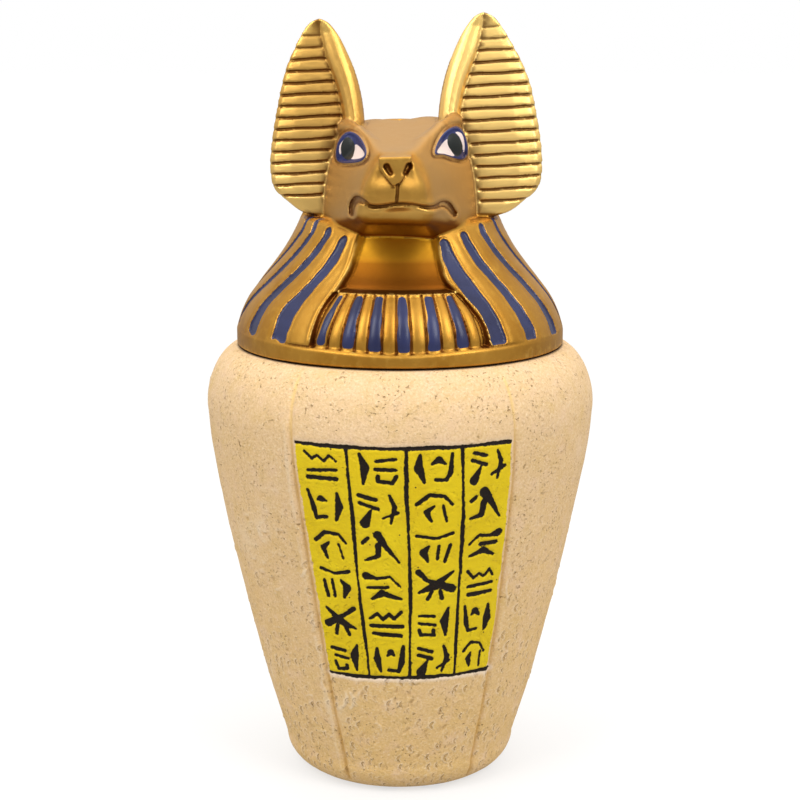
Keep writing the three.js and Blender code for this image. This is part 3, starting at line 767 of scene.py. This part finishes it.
def collar_shape(angle, z, radius):
    """How deep the collar lies below the cloth, and the signed distance to its blue ribs."""
    arc = np.radians(1) * radius
    rise = np.clip((z - collar_foot) / (collar_top - collar_foot), 0, 1)
    places = [foot + (head - foot) * rise ** 1.4 for foot, head, _ in collar_ribs]
    places = [places[0] - 5.2, *places, places[-1] + 4.6]
    bulge = 1.15 * (1 - ((z - 143.2) / 7.6) ** 2)
    depth = np.full_like(z, 1.7)
    blue = np.full_like(z, no_paint)
    for i, (foot, head, is_blue) in enumerate(collar_ribs, start=1):
        low, high = (places[i - 1] + places[i]) / 2, (places[i] + places[i + 1]) / 2
        inside = (angle > low) & (angle <= high)
        across = (angle[inside] - (low[inside] + high[inside]) / 2) / ((high[inside] - low[inside]) / 2)
        crown = 1 - 0.45 * across ** 2 - 0.55 * across ** 8
        depth[inside] = 1.75 - crown * (1.15 if is_blue else 1.0)
        if is_blue:
            half = 1.75 - 0.5 * rise + 0.12 * np.sin(z * 0.9 + foot) - (0.5 if i == 1 else 0)
            side = np.abs(angle - places[i]) * arc - half * radius / 46
            end = 1.3 + 0.3 * np.sin(i * 3.3) - above_rim(angle, z)
            end = np.maximum(end, z - collar_top + 0.5)
            blue = np.minimum(blue, rounded_max(side + 0.9, end + 0.9) - 0.9)
    return depth - bulge * ease(134.5, 138, z), blue


def cloth_paint(x, y, z):
    """Relief of the cloth, outward, and the signed distance to all its blue paint."""
    radius = np.hypot(x, y)
    angle = degrees_round(x, y)
    arc = np.radians(1) * radius
    to_fall = np.maximum(angle - through(right_fall, z), through(left_fall, z) - angle) * arc
    blue = stripe_distance(angle, z, radius)
    blue = np.maximum(blue, -to_fall)
    relief = -stripe_depth * ease(0.12, -0.35, blue)
    relief += 0.16 * hump(blue, 0.34, 0.26) + 0.22 * ease(0.3, 2.2, blue) * ease(166, 163, z)
    over_rim = above_rim(angle, z)
    to_side = ease(34, 50, np.abs(angle))
    relief *= ease(0.3, 1.1, over_rim)
    relief -= 0.35 * (1 - 0.85 * to_side) * hump(over_rim, 0.45, 0.38)
    front = to_fall < 1.2
    if front.any():
        depth = np.zeros_like(z)
        collar_depth, ribs = collar_shape(angle[front], z[front], radius[front])
        bare = chest_depth + 0.25 * hump(z[front], 151.3, 0.7)
        bare -= 0.8 * hump(z[front], 159.5, 3.6)
        rim_line = 0.45 * hump(z[front], collar_top, 0.42)
        over = ease(collar_top - 0.1, collar_top + 0.7, z[front])
        depth[front] = collar_depth * (1 - over) + bare * over - rim_line
        depth[front] += 0.8 * hump(to_fall[front], -0.9, 0.5) * (1 - over)
        wide = np.where(z > collar_top, 1.5, 0.5)
        inside = ease(0.15, -wide, to_fall) * ease(0.2, 0.9, over_rim)
        relief = relief * (1 - inside) - depth * inside
        relief += 0.3 * hump(to_fall, 0.7, 0.6) * ease(136, 138, z) * ease(166, 163, z)
        blue[front] = np.minimum(blue[front], np.maximum(ribs, to_fall[front] + 0.4))
    return relief, blue


def cloth_distance(x, y, z):
    """Signed distance to the rim, the cloth and the covered top of the head."""
    radius = np.hypot(x, y)
    angle = degrees_round(x, y)
    to_side = ease(34, 50, np.abs(angle))
    rim = shared(shared(radius - rim_radius + 0.45 * to_side, seat - z, 1.2), above_rim(angle, z), 0.8)
    relief, _ = cloth_paint(x, y, z)
    cloth = (radius - through(cloth_profile, z) - relief) * cloth_slope
    cloth = shared(cloth, z - cloth_top - 0.5 * ease(20, -5, y) + front_drop * ease(-18, -27, y), 1.6)
    cloth = np.maximum(cloth, seat + 0.5 - z)
    depth = np.where(y > 0, skull_half[1], skull_front)
    power = skull_square
    parts = (np.abs(x / skull_half[0]), np.abs(y / depth), np.abs((z - skull_centre) / skull_half[2]))
    total = sum(p ** power for p in parts)
    size = total ** (1 / power)
    slopes = [p ** (power - 1) / half for p, half in zip(parts, (skull_half[0], depth, skull_half[2]))]
    steep = np.sqrt(sum(s * s for s in slopes)) * total ** (1 / power - 1)
    skull = (size - 1) / np.maximum(steep, 0.02) - relief * ease(163, 168, z)
    skull = np.maximum(skull, 150 - z)
    return join(join(rim, cloth, 0.35 + 0.9 * to_side), skull, 1.2)


def plug_distance(x, y, z):
    """Signed distance to the plug that drops into the jar's mouth."""
    side = np.hypot(x, y) - plug_radius
    return shared(shared(side, plug_foot - z, 1.6), z - seat - 1, 0.5)


# The head: its long ridges from the crown line down to the throat, as (half width, height)
# at the cheeks and at the muzzle's pad, and how hollow the ridge runs between them.
ridges = [((10, 195.6), (4.6, 188.8), 1.0), ((16.6, 195.2), (6.2, 186.4), 0.62),
          ((19.4, 187), (8.4, 181.6), 0.95), ((21.4, 175), (8.9, 176.4), 1.0),
          ((21.5, 166.4), (9.4, 172.3), 1.0), ((14.6, 160.5), (7.2, 171.0), 1.0)]
cheek_depth, pad_depth = -13.0, -43.7
crown_reach = -0.26
head_turn = radians(1.6)
right_spread = 1.035              # the cheek on the +X side is a little wider
right_narrows = 0.07              # and that side of the muzzle a little narrower
stretch_from, right_stretch = 178, 0.0026      # and its features taller, from this height on
brow_path = [(16.2, -8, 195.4), (15.2, -13, 195.5), (11.6, -18.8, 193.7), (7.6, -27, 190.6),
             (5.3, -36, 187.6)]
brow_halves = [1.3, 2.2, 2.45, 2.0, 1.2]
nose_sides = [(181.0, 0.5), (182.5, 1.9), (184.5, 3.4), (186.5, 4.3), (188.6, 4.5)]
nose_top, nose_point, nose_front = 188.7, 181.0, -46.7
mouth_line = [(-13.4, 172.2), (-13.1, 174.6), (-11.7, 176.5), (-9.8, 176.2), (-7.6, 175.0),
              (-4.7, 175.1), (-0.8, 175.8), (3.5, 175.5), (7.2, 174.7), (9.6, 174.5), (11.6, 174.9),
              (13.4, 174.1), (15.3, 171.4)]
mouth_halves = [0.2, 0.4, 0.5, 0.35, 0.1, 0, 0, 0, 0.05, 0.15, 0.35, 0.45, 0.2]
along = np.linspace(0, len(mouth_line) - 1, 4 * len(mouth_line) - 3)
mouth = np.stack([through(list(enumerate(side)), along) for side in zip(*mouth_line)], axis=1)
mouth_half = np.interp(along, range(len(mouth_line)), mouth_halves)
nostrils = [((-3.6, 186.1), (-2.6, 184.4)), ((2.3, 186.2), (1.5, 184.5))]
cleft = [(-0.6, 181.2), (-0.7, 179.3), (-0.9, 176.4)]
pad_centre, pad_half = (0, -40.6, 179.7), (8.7, 5.5, 5.7)     # the round pad of the muzzle

# The eyes, as outlines seen from the front (across, height): painted rim, whites and pupil.
left_eye = {
    "rim": [(-18.3, 187.2), (-17.6, 191), (-15.6, 193.6), (-13.4, 194), (-10.9, 192.5),
            (-9.2, 189.3), (-10.4, 186.9), (-14.2, 185.6), (-17.4, 185.4)],
    "pupil": [(-14.7, 192.6), (-13.2, 191.5), (-12.6, 189.6), (-13.3, 187.2), (-14.8, 186.3),
              (-16.3, 187.3), (-16.7, 189.6), (-16, 191.6)],
    "inner": [(-12.4, 190.7), (-10.4, 189.5), (-9.8, 188.3), (-11.2, 187.3), (-13.8, 186.8),
              (-13.1, 188.6)],
    "outer": [(-15, 192.5), (-16, 191.6), (-17, 190.2), (-17.2, 188.2), (-16.6, 187.6),
              (-16.4, 190.3)],
}
right_eye = {
    "rim": [(9.7, 188.5), (10.4, 191.2), (12.5, 194), (15.2, 195.4), (17.4, 194.6), (18.9, 191.8),
            (19.5, 188), (18.3, 186.1), (15.6, 186.6), (12.2, 188)],
    "pupil": [(13.7, 193.1), (15.3, 193.6), (16.9, 192.1), (17.7, 189.8), (17.3, 187.8),
              (15.9, 187.1), (14.4, 188.8), (13.3, 191)],
    "inner": [(13.3, 192.1), (13.8, 190.1), (15.3, 187.4), (12.7, 188.1), (10.3, 188.8),
              (11.3, 190.3)],
    "outer": [(15.6, 193.9), (17.2, 193.6), (18, 192), (18.3, 189.5), (18, 187.9), (17.6, 189.8),
              (16.9, 192.3)],
}
# the swell of the eyeball: its middle, its half sizes and how far it turns outward
ball_centre, ball_half, ball_turn = (14.2, -19.7, 189.6), (5.8, 2.4, 4.7), radians(44)


def smooth_loop(outline, steps=5):
    """A closed curve through a few corner points."""
    corners = np.array(outline, float)
    before, after, later = np.roll(corners, 1, 0), np.roll(corners, -1, 0), np.roll(corners, -2, 0)
    curve = []
    for t in np.arange(steps) / steps:
        curve.append(0.5 * (2 * corners + (after - before) * t
                            + (2 * before - 5 * corners + 4 * after - later) * t ** 2
                            + (3 * corners - 3 * after + later - before) * t ** 3))
    return np.stack(curve, axis=1).reshape(-1, 2)


def loop_distance(u, v, corners):
    """Signed distance to a closed outline; its corners may be numbers or arrays."""
    best = np.full(u.shape, 1e6)
    inside = np.zeros(u.shape, bool)
    for (ax, ay), (bx, by) in zip(corners, [*corners[1:], corners[0]]):
        ex, ey = bx - ax, by - ay
        t = np.clip(((u - ax) * ex + (v - ay) * ey) / np.maximum(ex * ex + ey * ey, 1e-9), 0, 1)
        best = np.minimum(best, (u - ax - ex * t) ** 2 + (v - ay - ey * t) ** 2)
        crosses = (ay > v) != (by > v)
        level = np.where(np.abs(ey) < 1e-9, 1e-9, ey)
        inside ^= crosses & (u < ex * (v - ay) / level + ax)
    return np.where(inside, -1, 1) * np.sqrt(best)


def bar_distance(x, y, z, path, halves):
    """Distance to a round bar along a path, whose radius changes."""
    best = np.full_like(x, 99.0)
    for a, b, ra, rb in zip(path[:-1], path[1:], halves[:-1], halves[1:]):
        run = np.subtract(b, a)
        t = np.clip(((x - a[0]) * run[0] + (y - a[1]) * run[1] + (z - a[2]) * run[2]) / (run @ run), 0, 1)
        dx, dy, dz = [place - start - t * way for place, start, way in zip((x, y, z), a, run)]
        gap = np.sqrt(dx ** 2 + dy ** 2 + dz ** 2)
        best = join(best, gap - ra - (rb - ra) * t, 0.5)
    return best


def block_distance(x, y, z):
    """The head as a block of planes with softened ridges, before its features."""
    t = np.clip((cheek_depth - y) / (cheek_depth - pad_depth), crown_reach, 1)
    ahead = np.maximum(t, 0)
    corners = []
    for (cheek_width, cheek_height), (pad_width, pad_height), hollow in ridges:
        reach = ahead if corners else t
        corners.append((cheek_width + (pad_width - cheek_width) * ahead ** hollow,
                        cheek_height + (pad_height - cheek_height) * reach))
    block = z - corners[0][1] + 0.9 * hump(x, 0, 5.5) * ease(-46, -30, y)
    for number, ((ax, az), (bx, bz)) in enumerate(zip(corners[:-1], corners[1:])):
        dx, dz = bx - ax, bz - az
        length = np.hypot(dx, dz)
        side = ((x - ax) * -dz + (z - az) * dx) / length
        block = shared(block, side, (1.5 if number < 3 else 1.1) + 1.3 * ease(-30, -42, y))
    block = shared(block, corners[-1][1] - z, 1.1)
    face = -pad_depth + 0.9 - 0.9 * (x / 9) ** 2 + 0.1 * (z - 181) - 0.4 * ((z - 181) / 7) ** 2
    face -= 1.5 * ease(176.0, 174.6, z)
    block = shared(block * 0.93, -y - face, 1.6)
    return shared(block, y + 3, 2.0)


def face_lines(x, z):
    """Distances, seen from the front, to the mouth line, to the cleft and to the nostrils."""
    lips = np.maximum(stroke_distance(x, z, mouth, mouth_half), 0)
    split = stroke_distance(x, z, cleft, np.zeros(len(cleft)))
    holes = [stroke_distance(x, z, ends, (0.3, 0.1)) for ends in nostrils]
    return lips, split, np.maximum(np.minimum(*holes), 0)


def head_distance(x, y, z):
    """The jackal's head: the block with brows, eyes and nose, and its mouth and nostrils cut in."""
    turned_x = x * cos(head_turn) - y * sin(head_turn)
    turned_y = x * sin(head_turn) + y * cos(head_turn)
    lean = stretch_from + (z - stretch_from) / (1 + right_stretch * turned_x)
    spread = right_spread - right_narrows * ease(-20, -44, turned_y)
    across = np.where(turned_x > 0, turned_x / spread, -turned_x)
    head = block_distance(across, turned_y, lean)
    brow = bar_distance(across, turned_y, lean, brow_path, brow_halves)
    head = join(head, brow, 1.7)
    bx, by, bz = across - ball_centre[0], turned_y - ball_centre[1], lean - ball_centre[2]
    ball_x = bx * cos(ball_turn) + by * sin(ball_turn)
    ball_y = by * cos(ball_turn) - bx * sin(ball_turn)
    ball = np.sqrt((ball_x / ball_half[0]) ** 2 + (ball_y / ball_half[1]) ** 2 + (bz / ball_half[2]) ** 2)
    head = join(head, (ball - 1) * ball_half[1], 0.5)
    px, py, pz = [(place - middle) / half for place, middle, half in
                  zip((across, turned_y, lean), pad_centre, pad_half)]
    pad = (np.sqrt(px ** 2 + py ** 2 + pz ** 2) - 1) * pad_half[1]
    head = join(head, pad, 1.2)
    shape = np.maximum(across - through(nose_sides, lean), np.maximum(nose_point - lean, lean - nose_top))
    nose = shared(shape * 0.85, nose_front - 0.024 * (lean - 185) ** 2 - turned_y, 0.8)
    nose = shared(nose, turned_y + 38, 1.0)
    head = join(head, nose, 0.35)
    for outlines, side in ((left_eye, -1), (right_eye, 1)):
        near = (side * x > 6) & (z > 182) & (z < 199)
        rim = loop_distance(x[near], z[near], list(smooth_loop(outlines["rim"])))
        head[near] += -0.42 * hump(rim, -0.35, 0.5) + 0.35 * hump(rim, 0.7, 0.55)
    front = y < -24
    lips, split, hole = face_lines(x[front], z[front])
    head[front] += 0.75 * hump(lips, 0, 0.42) - 0.2 * hump(lips, 1.2, 0.7)
    head[front] += 0.7 * hump(split, 0, 0.42) + 1.3 * hump(hole, 0, 0.6)
    return head


# The ears, drawn for the one on the -X side; the other is a little taller and wider.
ear_inner = [(164, 12.5), (190, 10.2), (197, 10.2), (204, 11.1), (211, 13), (217.6, 15.9),
             (221, 17.8), (224, 20.3), (225.3, 22.6)]
ear_outer = [(164, 17), (168.4, 23), (170.4, 28.6), (173.1, 32.3), (176.6, 36.2), (180.1, 37.4),
             (184.5, 37.6), (190.4, 37.1), (200.7, 35.3), (211, 32.8), (217.6, 29.9), (221, 28.1),
             (224, 25.8), (225.3, 23.4)]
ear_roll = [(166, 7), (196, 6.0), (206, 6.4), (213, 6.6), (218, 5.6), (223, 3.4), (225.3, 0.5)]
ear_tip, ear_middle = 225.2, -8.0
# its section, as (share of the roll or of the panel, forward): roll, panel and back
roll_section = [(0, 0.4), (0.04, 2.8), (0.2, 4.9), (0.45, 6.0), (0.7, 5.7), (0.9, 4.5), (1.0, 2.9)]
panel_section = [(0.03, 2.3), (0.3, 2.8), (0.7, 2.7), (0.93, 2.0), (1.0, 0.6), (0.97, -1.0), (0.8, -2.8)]
back_section = [(0.55, -4.0), (0.25, -4.8)]
slat_step, first_slat, slat_depth, slat_lean, slat_groove = 3.2, 172.9, 0.62, 0.13, 0.4
lowest_grooves = (174.2, 171.4)   # where the grooves begin, on the left and on the right
right_ear_height, right_ear_shift, right_ear_spread = 1.0344, 0.8, 0.075
cheek_side = [(168, 21.6), (175, 21.4), (187, 19.4), (195.5, 16.6)]


def ear_shape(x, y, z, right):
    """One ear, a leaf whose section changes with height, ribbed like slats; and its grooves, 0 to 1."""
    z = first_slat + (z - first_slat) / (right_ear_height if right else 1)
    shift = right_ear_shift if right else 0
    inner = through(ear_inner, z) + shift
    spread = 1 + right_ear_spread * np.clip((ear_tip - z) / 20, 0, 1) if right else 1
    outer = np.maximum(through(ear_outer, z) * spread + shift, inner + 0.8)
    width = outer - inner
    roll = np.minimum(through(ear_roll, z), width * 0.52)
    slim = np.clip((ear_tip - z) / 30, 0.12, 1) ** 0.8
    forward = (ear_middle - y) / slim
    corners = [(inner + roll * a, f) for a, f in roll_section]
    corners += [(inner + roll + (width - roll) * a, f) for a, f in panel_section]
    corners += [(inner + width * a, f) for a, f in back_section]
    corners = [(a, np.full_like(z, f)) for a, f in corners]
    leaf = loop_distance(x, forward, corners) * np.maximum(slim, 0.5)
    on_panel = ease(0.0, 0.8, x - inner - roll) * ease(-0.2, 1.3, forward)
    nearest = np.round((z - first_slat) / slat_step)
    wave = 0.05 * (x - inner) * (-1 if right else 1) + 0.08 * np.sin(0.45 * x + 2.4 * nearest)
    beat = (z + wave - first_slat + slat_step / 2) % slat_step - slat_step / 2
    cheek = through(cheek_side, z) * (right_spread if right else 1)
    on_panel *= np.where(z < cheek_side[-1][0], ease(0.2, 1.5, x - cheek), 1)
    groove = slat_depth * hump(beat, 0, slat_groove)
    lean_back = slat_lean * (beat % slat_step - slat_step / 2) * np.clip(np.abs(beat) / 0.5, 0, 1)
    near_edge = 0.45 + 0.55 * ease(0.2, 1.6, outer - x)
    lowest = lowest_grooves[right]
    on_panel *= ease(lowest, lowest + 1, z) * ease(223.5, 221.5, z)
    leaf += (groove + lean_back) * on_panel * near_edge
    leaf = shared(leaf, z - ear_tip - 0.2, 0.8)
    return np.maximum(leaf, 165 - z), groove * on_panel / slat_depth


def lid_distance(points):
    """Signed distance to the whole lid, in millimetres."""
    x, y, z = points.T
    lid = cloth_distance(x, y, z)
    low = z < 138
    lid[low] = join(lid[low], plug_distance(x[low], y[low], z[low]), 0.3)
    near = (z > 155) & (z < 204) & (np.abs(x) < 29) & (y < 3) & (y > -53)
    lid[near] = join(lid[near], head_distance(x[near], y[near], z[near]), 1.0)
    for right in (False, True):
        side = 1 if right else -1
        near = (z > 160) & (side * x > 4) & (np.abs(y + 8) < 13)
        ear, _ = ear_shape(side * x[near], y[near], z[near], right)
        lid[near] = join(lid[near], ear, 0.9)
    return lid


def in_batches(function, points, batch=400000):
    """Works through many points a part at a time, to save memory."""
    return np.concatenate([function(points[i:i + batch]) for i in range(0, len(points), batch)])


def sculpt(distance, low, high, step):
    """The skin where a distance field is zero, as quads: one point in each crossed cell."""
    block = 4
    coarse = step * block
    counts = np.ceil((high - low) / coarse).astype(int)
    axes = [low[i] + coarse * np.arange(counts[i] + 1) for i in range(3)]
    rough_points = np.stack(np.meshgrid(*axes, indexing="ij"), axis=-1)
    rough = in_batches(distance, rough_points.reshape(-1, 3)).reshape(counts + 1)
    eight = [tuple(slice(c, c - 1 or None) for c in corner) for corner in product((0, 1), repeat=3)]
    near = np.min([np.abs(rough[e]) for e in eight], axis=0) < 1.25 * coarse
    field = np.full(counts * block + 1, 9.0, np.float32)
    fine_sign = np.where(rough[eight[0]] < 0, -9.0, 9.0)
    field[:-1, :-1, :-1] = fine_sign.repeat(block, 0).repeat(block, 1).repeat(block, 2)
    near = near.repeat(block, 0).repeat(block, 1).repeat(block, 2)
    wanted = np.zeros(field.shape, bool)
    for e in eight:
        wanted[e] |= near
    index = np.argwhere(wanted)
    field[wanted] = in_batches(distance, low + index * step)
    inside = field < 0
    count = sum(inside[e].astype(np.uint8) for e in eight)
    cells = np.argwhere((count > 0) & (count < 8))
    number = np.full(count.shape, -1, np.int32)
    number[tuple(cells.T)] = np.arange(len(cells))
    total, crossings = np.zeros((len(cells), 3)), np.zeros(len(cells))
    for axis in range(3):
        for others in product((0, 1), repeat=2):
            start = np.insert(np.array(others), axis, 0)
            end = start + np.eye(3, dtype=int)[axis]
            a, b = field[tuple((cells + start).T)], field[tuple((cells + end).T)]
            cut = (a < 0) != (b < 0)
            t = a[cut] / (a[cut] - b[cut])
            total[cut] += start + (end - start) * t[:, None]
            crossings[cut] += 1
    points = low + (cells + total / crossings[:, None]) * step
    quads = []
    for axis in range(3):
        second, third = (axis + 1) % 3, (axis + 2) % 3
        here = inside[tuple(slice(0, -1) if i == axis else slice(1, -1) for i in range(3))]
        there = inside[tuple(slice(1, None) if i == axis else slice(1, -1) for i in range(3))]
        edges = np.argwhere(here != there)
        leaving = here[tuple(edges.T)]
        edges = edges + np.where(np.arange(3) == axis, 0, 1)
        ring = []
        for b, c in ((-1, -1), (0, -1), (0, 0), (-1, 0)):
            cell = edges.copy()
            cell[:, second] += b
            cell[:, third] += c
            ring.append(number[tuple(cell.T)])
        ring = np.stack(ring, axis=1)
        quads.append(np.where(leaving[:, None], ring, ring[:, ::-1]))
    return points, np.concatenate(quads)


def slope_of(distance, points, reach=0.06):
    """The gradient of a distance field."""
    slope = np.zeros_like(points)
    for corner in ((1, 1, 1), (1, -1, -1), (-1, 1, -1), (-1, -1, 1)):
        slope += np.outer(in_batches(distance, points + reach * np.array(corner)), corner)
    return slope / (4 * reach)


def settle(distance, points):
    """Moves points onto the field's skin."""
    slope = slope_of(distance, points)
    length = np.maximum((slope ** 2).sum(axis=1), 0.05)
    shift = np.clip(in_batches(distance, points) / length, -0.3, 0.3)
    return points - shift[:, None] * slope


sculpt_step = 0.42
face_limit = 190000               # triangles the finished lid may have
low = np.array((-50.0, -50.0, plug_foot - 1.5))
high = np.array((50.0, 50.0, lid_high.z / mm + 1.5))
points, quads = sculpt(lid_distance, low, high, sculpt_step)
points = settle(lid_distance, points)
rough_mesh = bpy.data.meshes.new("rough_lid")
rough_mesh.from_pydata((points * mm).tolist(), [], quads.tolist())
rough_lid = bpy.data.objects.new("rough_lid", rough_mesh)
bpy.context.collection.objects.link(rough_lid)
if 2 * len(quads) > face_limit:
    fewer = rough_lid.modifiers.new("fewer", "DECIMATE")
    fewer.ratio = face_limit / (2 * len(quads))
thinned = rough_lid.evaluated_get(bpy.context.evaluated_depsgraph_get())
finished = bpy.data.meshes.new_from_object(thinned)
finished.name = "gilded_lid"
bpy.data.objects.remove(rough_lid)
lid = bpy.data.objects.new("gilded_lid", finished)
bpy.context.collection.objects.link(lid)
finished.shade_smooth()

flat = np.empty(3 * len(finished.vertices), np.float32)
finished.vertices.foreach_get("co", flat)
points = flat.reshape(-1, 3).astype(float) / mm
points = settle(lid_distance, points)
finished.vertices.foreach_set("co", (points * mm).astype(np.float32).ravel())
slope = slope_of(lid_distance, points)
steep = np.linalg.norm(slope, axis=1)
outward = slope / np.maximum(steep, 0.2)[:, None]


def hollowness(reach):
    """How much of the air (or of the casting, for a negative reach) is missing around a point."""
    ahead = in_batches(lid_distance, points + outward * reach) / np.maximum(steep, 0.2)
    return 1 - ahead / reach


x, y, z = points.T
blue = cloth_paint(x, y, z)[1]
head = in_batches(lambda spots: head_distance(*spots.T), points)
left_ear, left_grooves = ear_shape(-x, y, z, False)
right_ear, right_grooves = ear_shape(x, y, z, True)
blue = np.where(np.minimum(head, np.minimum(left_ear, right_ear)) < 0.45, no_paint, blue)
eyes = {}
for part in ("rim", "pupil", "inner", "outer"):
    eyes[part] = np.full(len(points), no_paint)
    for outlines, side in ((left_eye, -1), (right_eye, 1)):
        near = (side * x > 6) & (y < -12) & (z > 183)
        loop = list(smooth_loop(outlines[part]))
        eyes[part][near] = loop_distance(x[near], z[near], loop)
bearing = degrees_round(x, y)
past_right, past_left = bearing - through(right_fall, z), through(left_fall, z) - bearing
on_chest = ease(0.2, -1.2, past_right) * ease(0.2, -1.2, past_left)
on_chest = on_chest * ease(collar_top, collar_top + 1, z) * (head > 0.6)
# Painted shade: the head's surfaces that face down, under the jaw, are marked here to be painted dark
# brown.
under_jaw = ease(-0.1, -0.5, outward[:, 2]) * (head < 0.5) * ease(173.5, 171.5, z) * (y < -12)
on_head = (head < 0.5) * (1 - under_jaw) * ease(168, 172, z)
on_muzzle = ease(-37, -41, y)
in_front = outward[:, 1] < -0.2
lower_ear = ease(200, 178, z)
# Painted highlight: the front faces of the ears, the one on the +X side fully and the other more towards
# its foot, and the lower front of the muzzle are painted lighter gold.
burnish = (0.32 + 0.5 * lower_ear) * ((left_ear < 0.5) & in_front) + ((right_ear < 0.5) & in_front)
burnish = burnish * (z > 170) * (head > 0.5) + (0.12 + 0.16 * ease(177, 174.5, z)) * on_head * on_muzzle
wash = np.maximum(hollowness(0.9), 0.5 * np.where(left_ear < 0.4, left_grooves, 0))
wash = np.maximum(wash, 0.5 * np.where(right_ear < 0.4, right_grooves, 0))
lips, split, hole = face_lines(x, z)
sunk = np.maximum(0.45 * hump(np.minimum(lips, split), 0, 0.4), 0.9 * hump(hole, 0, 0.55))
wash = np.maximum(wash, sunk * (y < -34))
seam = np.maximum(0.3 + 0.2 * on_muzzle, ease(0.8, 3.5, head)) * ease(0.3, 0.08, wash)
# Painted shade: a dark brown laid into the wider hollows, less on the head and none on the chest.
deep = hollowness(3.0) * (1 - on_chest) * (1 - 0.5 * on_head)
edge = hollowness(-0.6) * seam
keep(lid, blue=blue, wash=wash, deep=deep, edge=edge, glaze=under_jaw, chest=on_chest,
     eye_rim=eyes["rim"], eye_pupil=eyes["pupil"], eye_white=np.minimum(eyes["inner"], eyes["outer"]),
     dust=on_head * (1 - on_muzzle), burnish=burnish)


# Gold paint with a brown wash rubbed back from the high spots, and glossy dark blue enamel;
# over the gold lie painted shade, painted highlights and a painted sheen, each marked below.
gilding, put = palette("antique_gold")
where = put("TexCoord").outputs["Object"]
level = put("SeparateXYZ", {0: where}).outputs["Z"]
clouds = noise(where, 70)
brushed = noise(where, 420, 5)
grit = noise(where, 2200, 3)
gold = mix(ramp(clouds, 0.35, 0.65), tint(180, 127, 44), tint(199, 147, 60))
gold = mix(ramp(brushed, 0.5, 0.75, 0, 0.35), gold, tint(220, 172, 74))
# The head outside the muzzle: its paint is less metallic, and a paler, greyer tan stands in part for a
# painted sheen of reflected light.
gold = mix(read("dust"), gold, tint(180, 137, 76))
# painted highlight on the ears and the muzzle
gold = mix(read("burnish"), gold, tint(255, 215, 130))
washed = ragged("wash", brushed, 0.12)
gold = mix(ramp(washed, 0.12, 0.5, 0, 0.8), gold, tint(104, 60, 16))
# painted shade in the wider hollows
gold = mix(ramp(read("deep"), 0.25, 0.8, 0, 0.7), gold, tint(104, 54, 12))
# painted shade under the jaw
gold = mix(times(read("glaze"), 0.95), gold, tint(134, 76, 3))
# Painted light on the chest: dark brown towards its foot for painted shade, and bright gold at its top for
# a painted highlight.
chest_shade_and_highlight = mix(ramp(level, 0.152, 0.159), tint(102, 51, 0), tint(122, 72, 4))
chest_shade_and_highlight = mix(ramp(level, 0.158, 0.1645), chest_shade_and_highlight, tint(248, 184, 46))
gold = mix(times(read("chest"), 0.95), gold, chest_shade_and_highlight)
gold = mix(ramp(ragged("edge", brushed, 0.15), 0.15, 0.6, 0, 0.6), gold, tint(250, 212, 118))
blue_edge = ragged("blue", brushed, 0.1)
enamel = mix(ramp(clouds, 0.35, 0.65), tint(34, 38, 72), tint(49, 55, 96))
in_blue = ramp(blue_edge, 0.06, -0.06)
in_rim = ramp(read("eye_rim"), 0.05, -0.05)
in_white = ramp(read("eye_white"), 0.05, -0.05)
in_pupil = ramp(read("eye_pupil"), 0.05, -0.05)
colour = mix(in_blue, gold, enamel)
colour = mix(in_rim, colour, tint(36, 42, 92))
colour = mix(in_white, colour, tint(236, 216, 208))
colour = mix(in_pupil, colour, tint(28, 32, 30))
painted = sums("MAXIMUM", in_blue, in_rim)
shine = minus(0.92, times(read("dust"), 0.35))
metal = times(minus(1.0, painted), shine)
gloss = mix(painted, grey(0.42), grey(0.27))
gloss = mix(ramp(brushed, 0.3, 0.7, 0, 0.4), gloss, grey(0.52))
heights = plus(times(grit, 0.4), brushed)
bump = put("Bump", {"Strength": 0.3, "Distance": 0.0001, "Height": heights})
shader = put("BsdfPrincipled", {"Base Color": colour, "Roughness": gloss, "Metallic": metal, "Normal": bump,
                                "Specular IOR Level": 0.38})
put("OutputMaterial", {0: shader})
finished.materials.clear()
finished.materials.append(gilding)
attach(lid, "root")
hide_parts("lid")
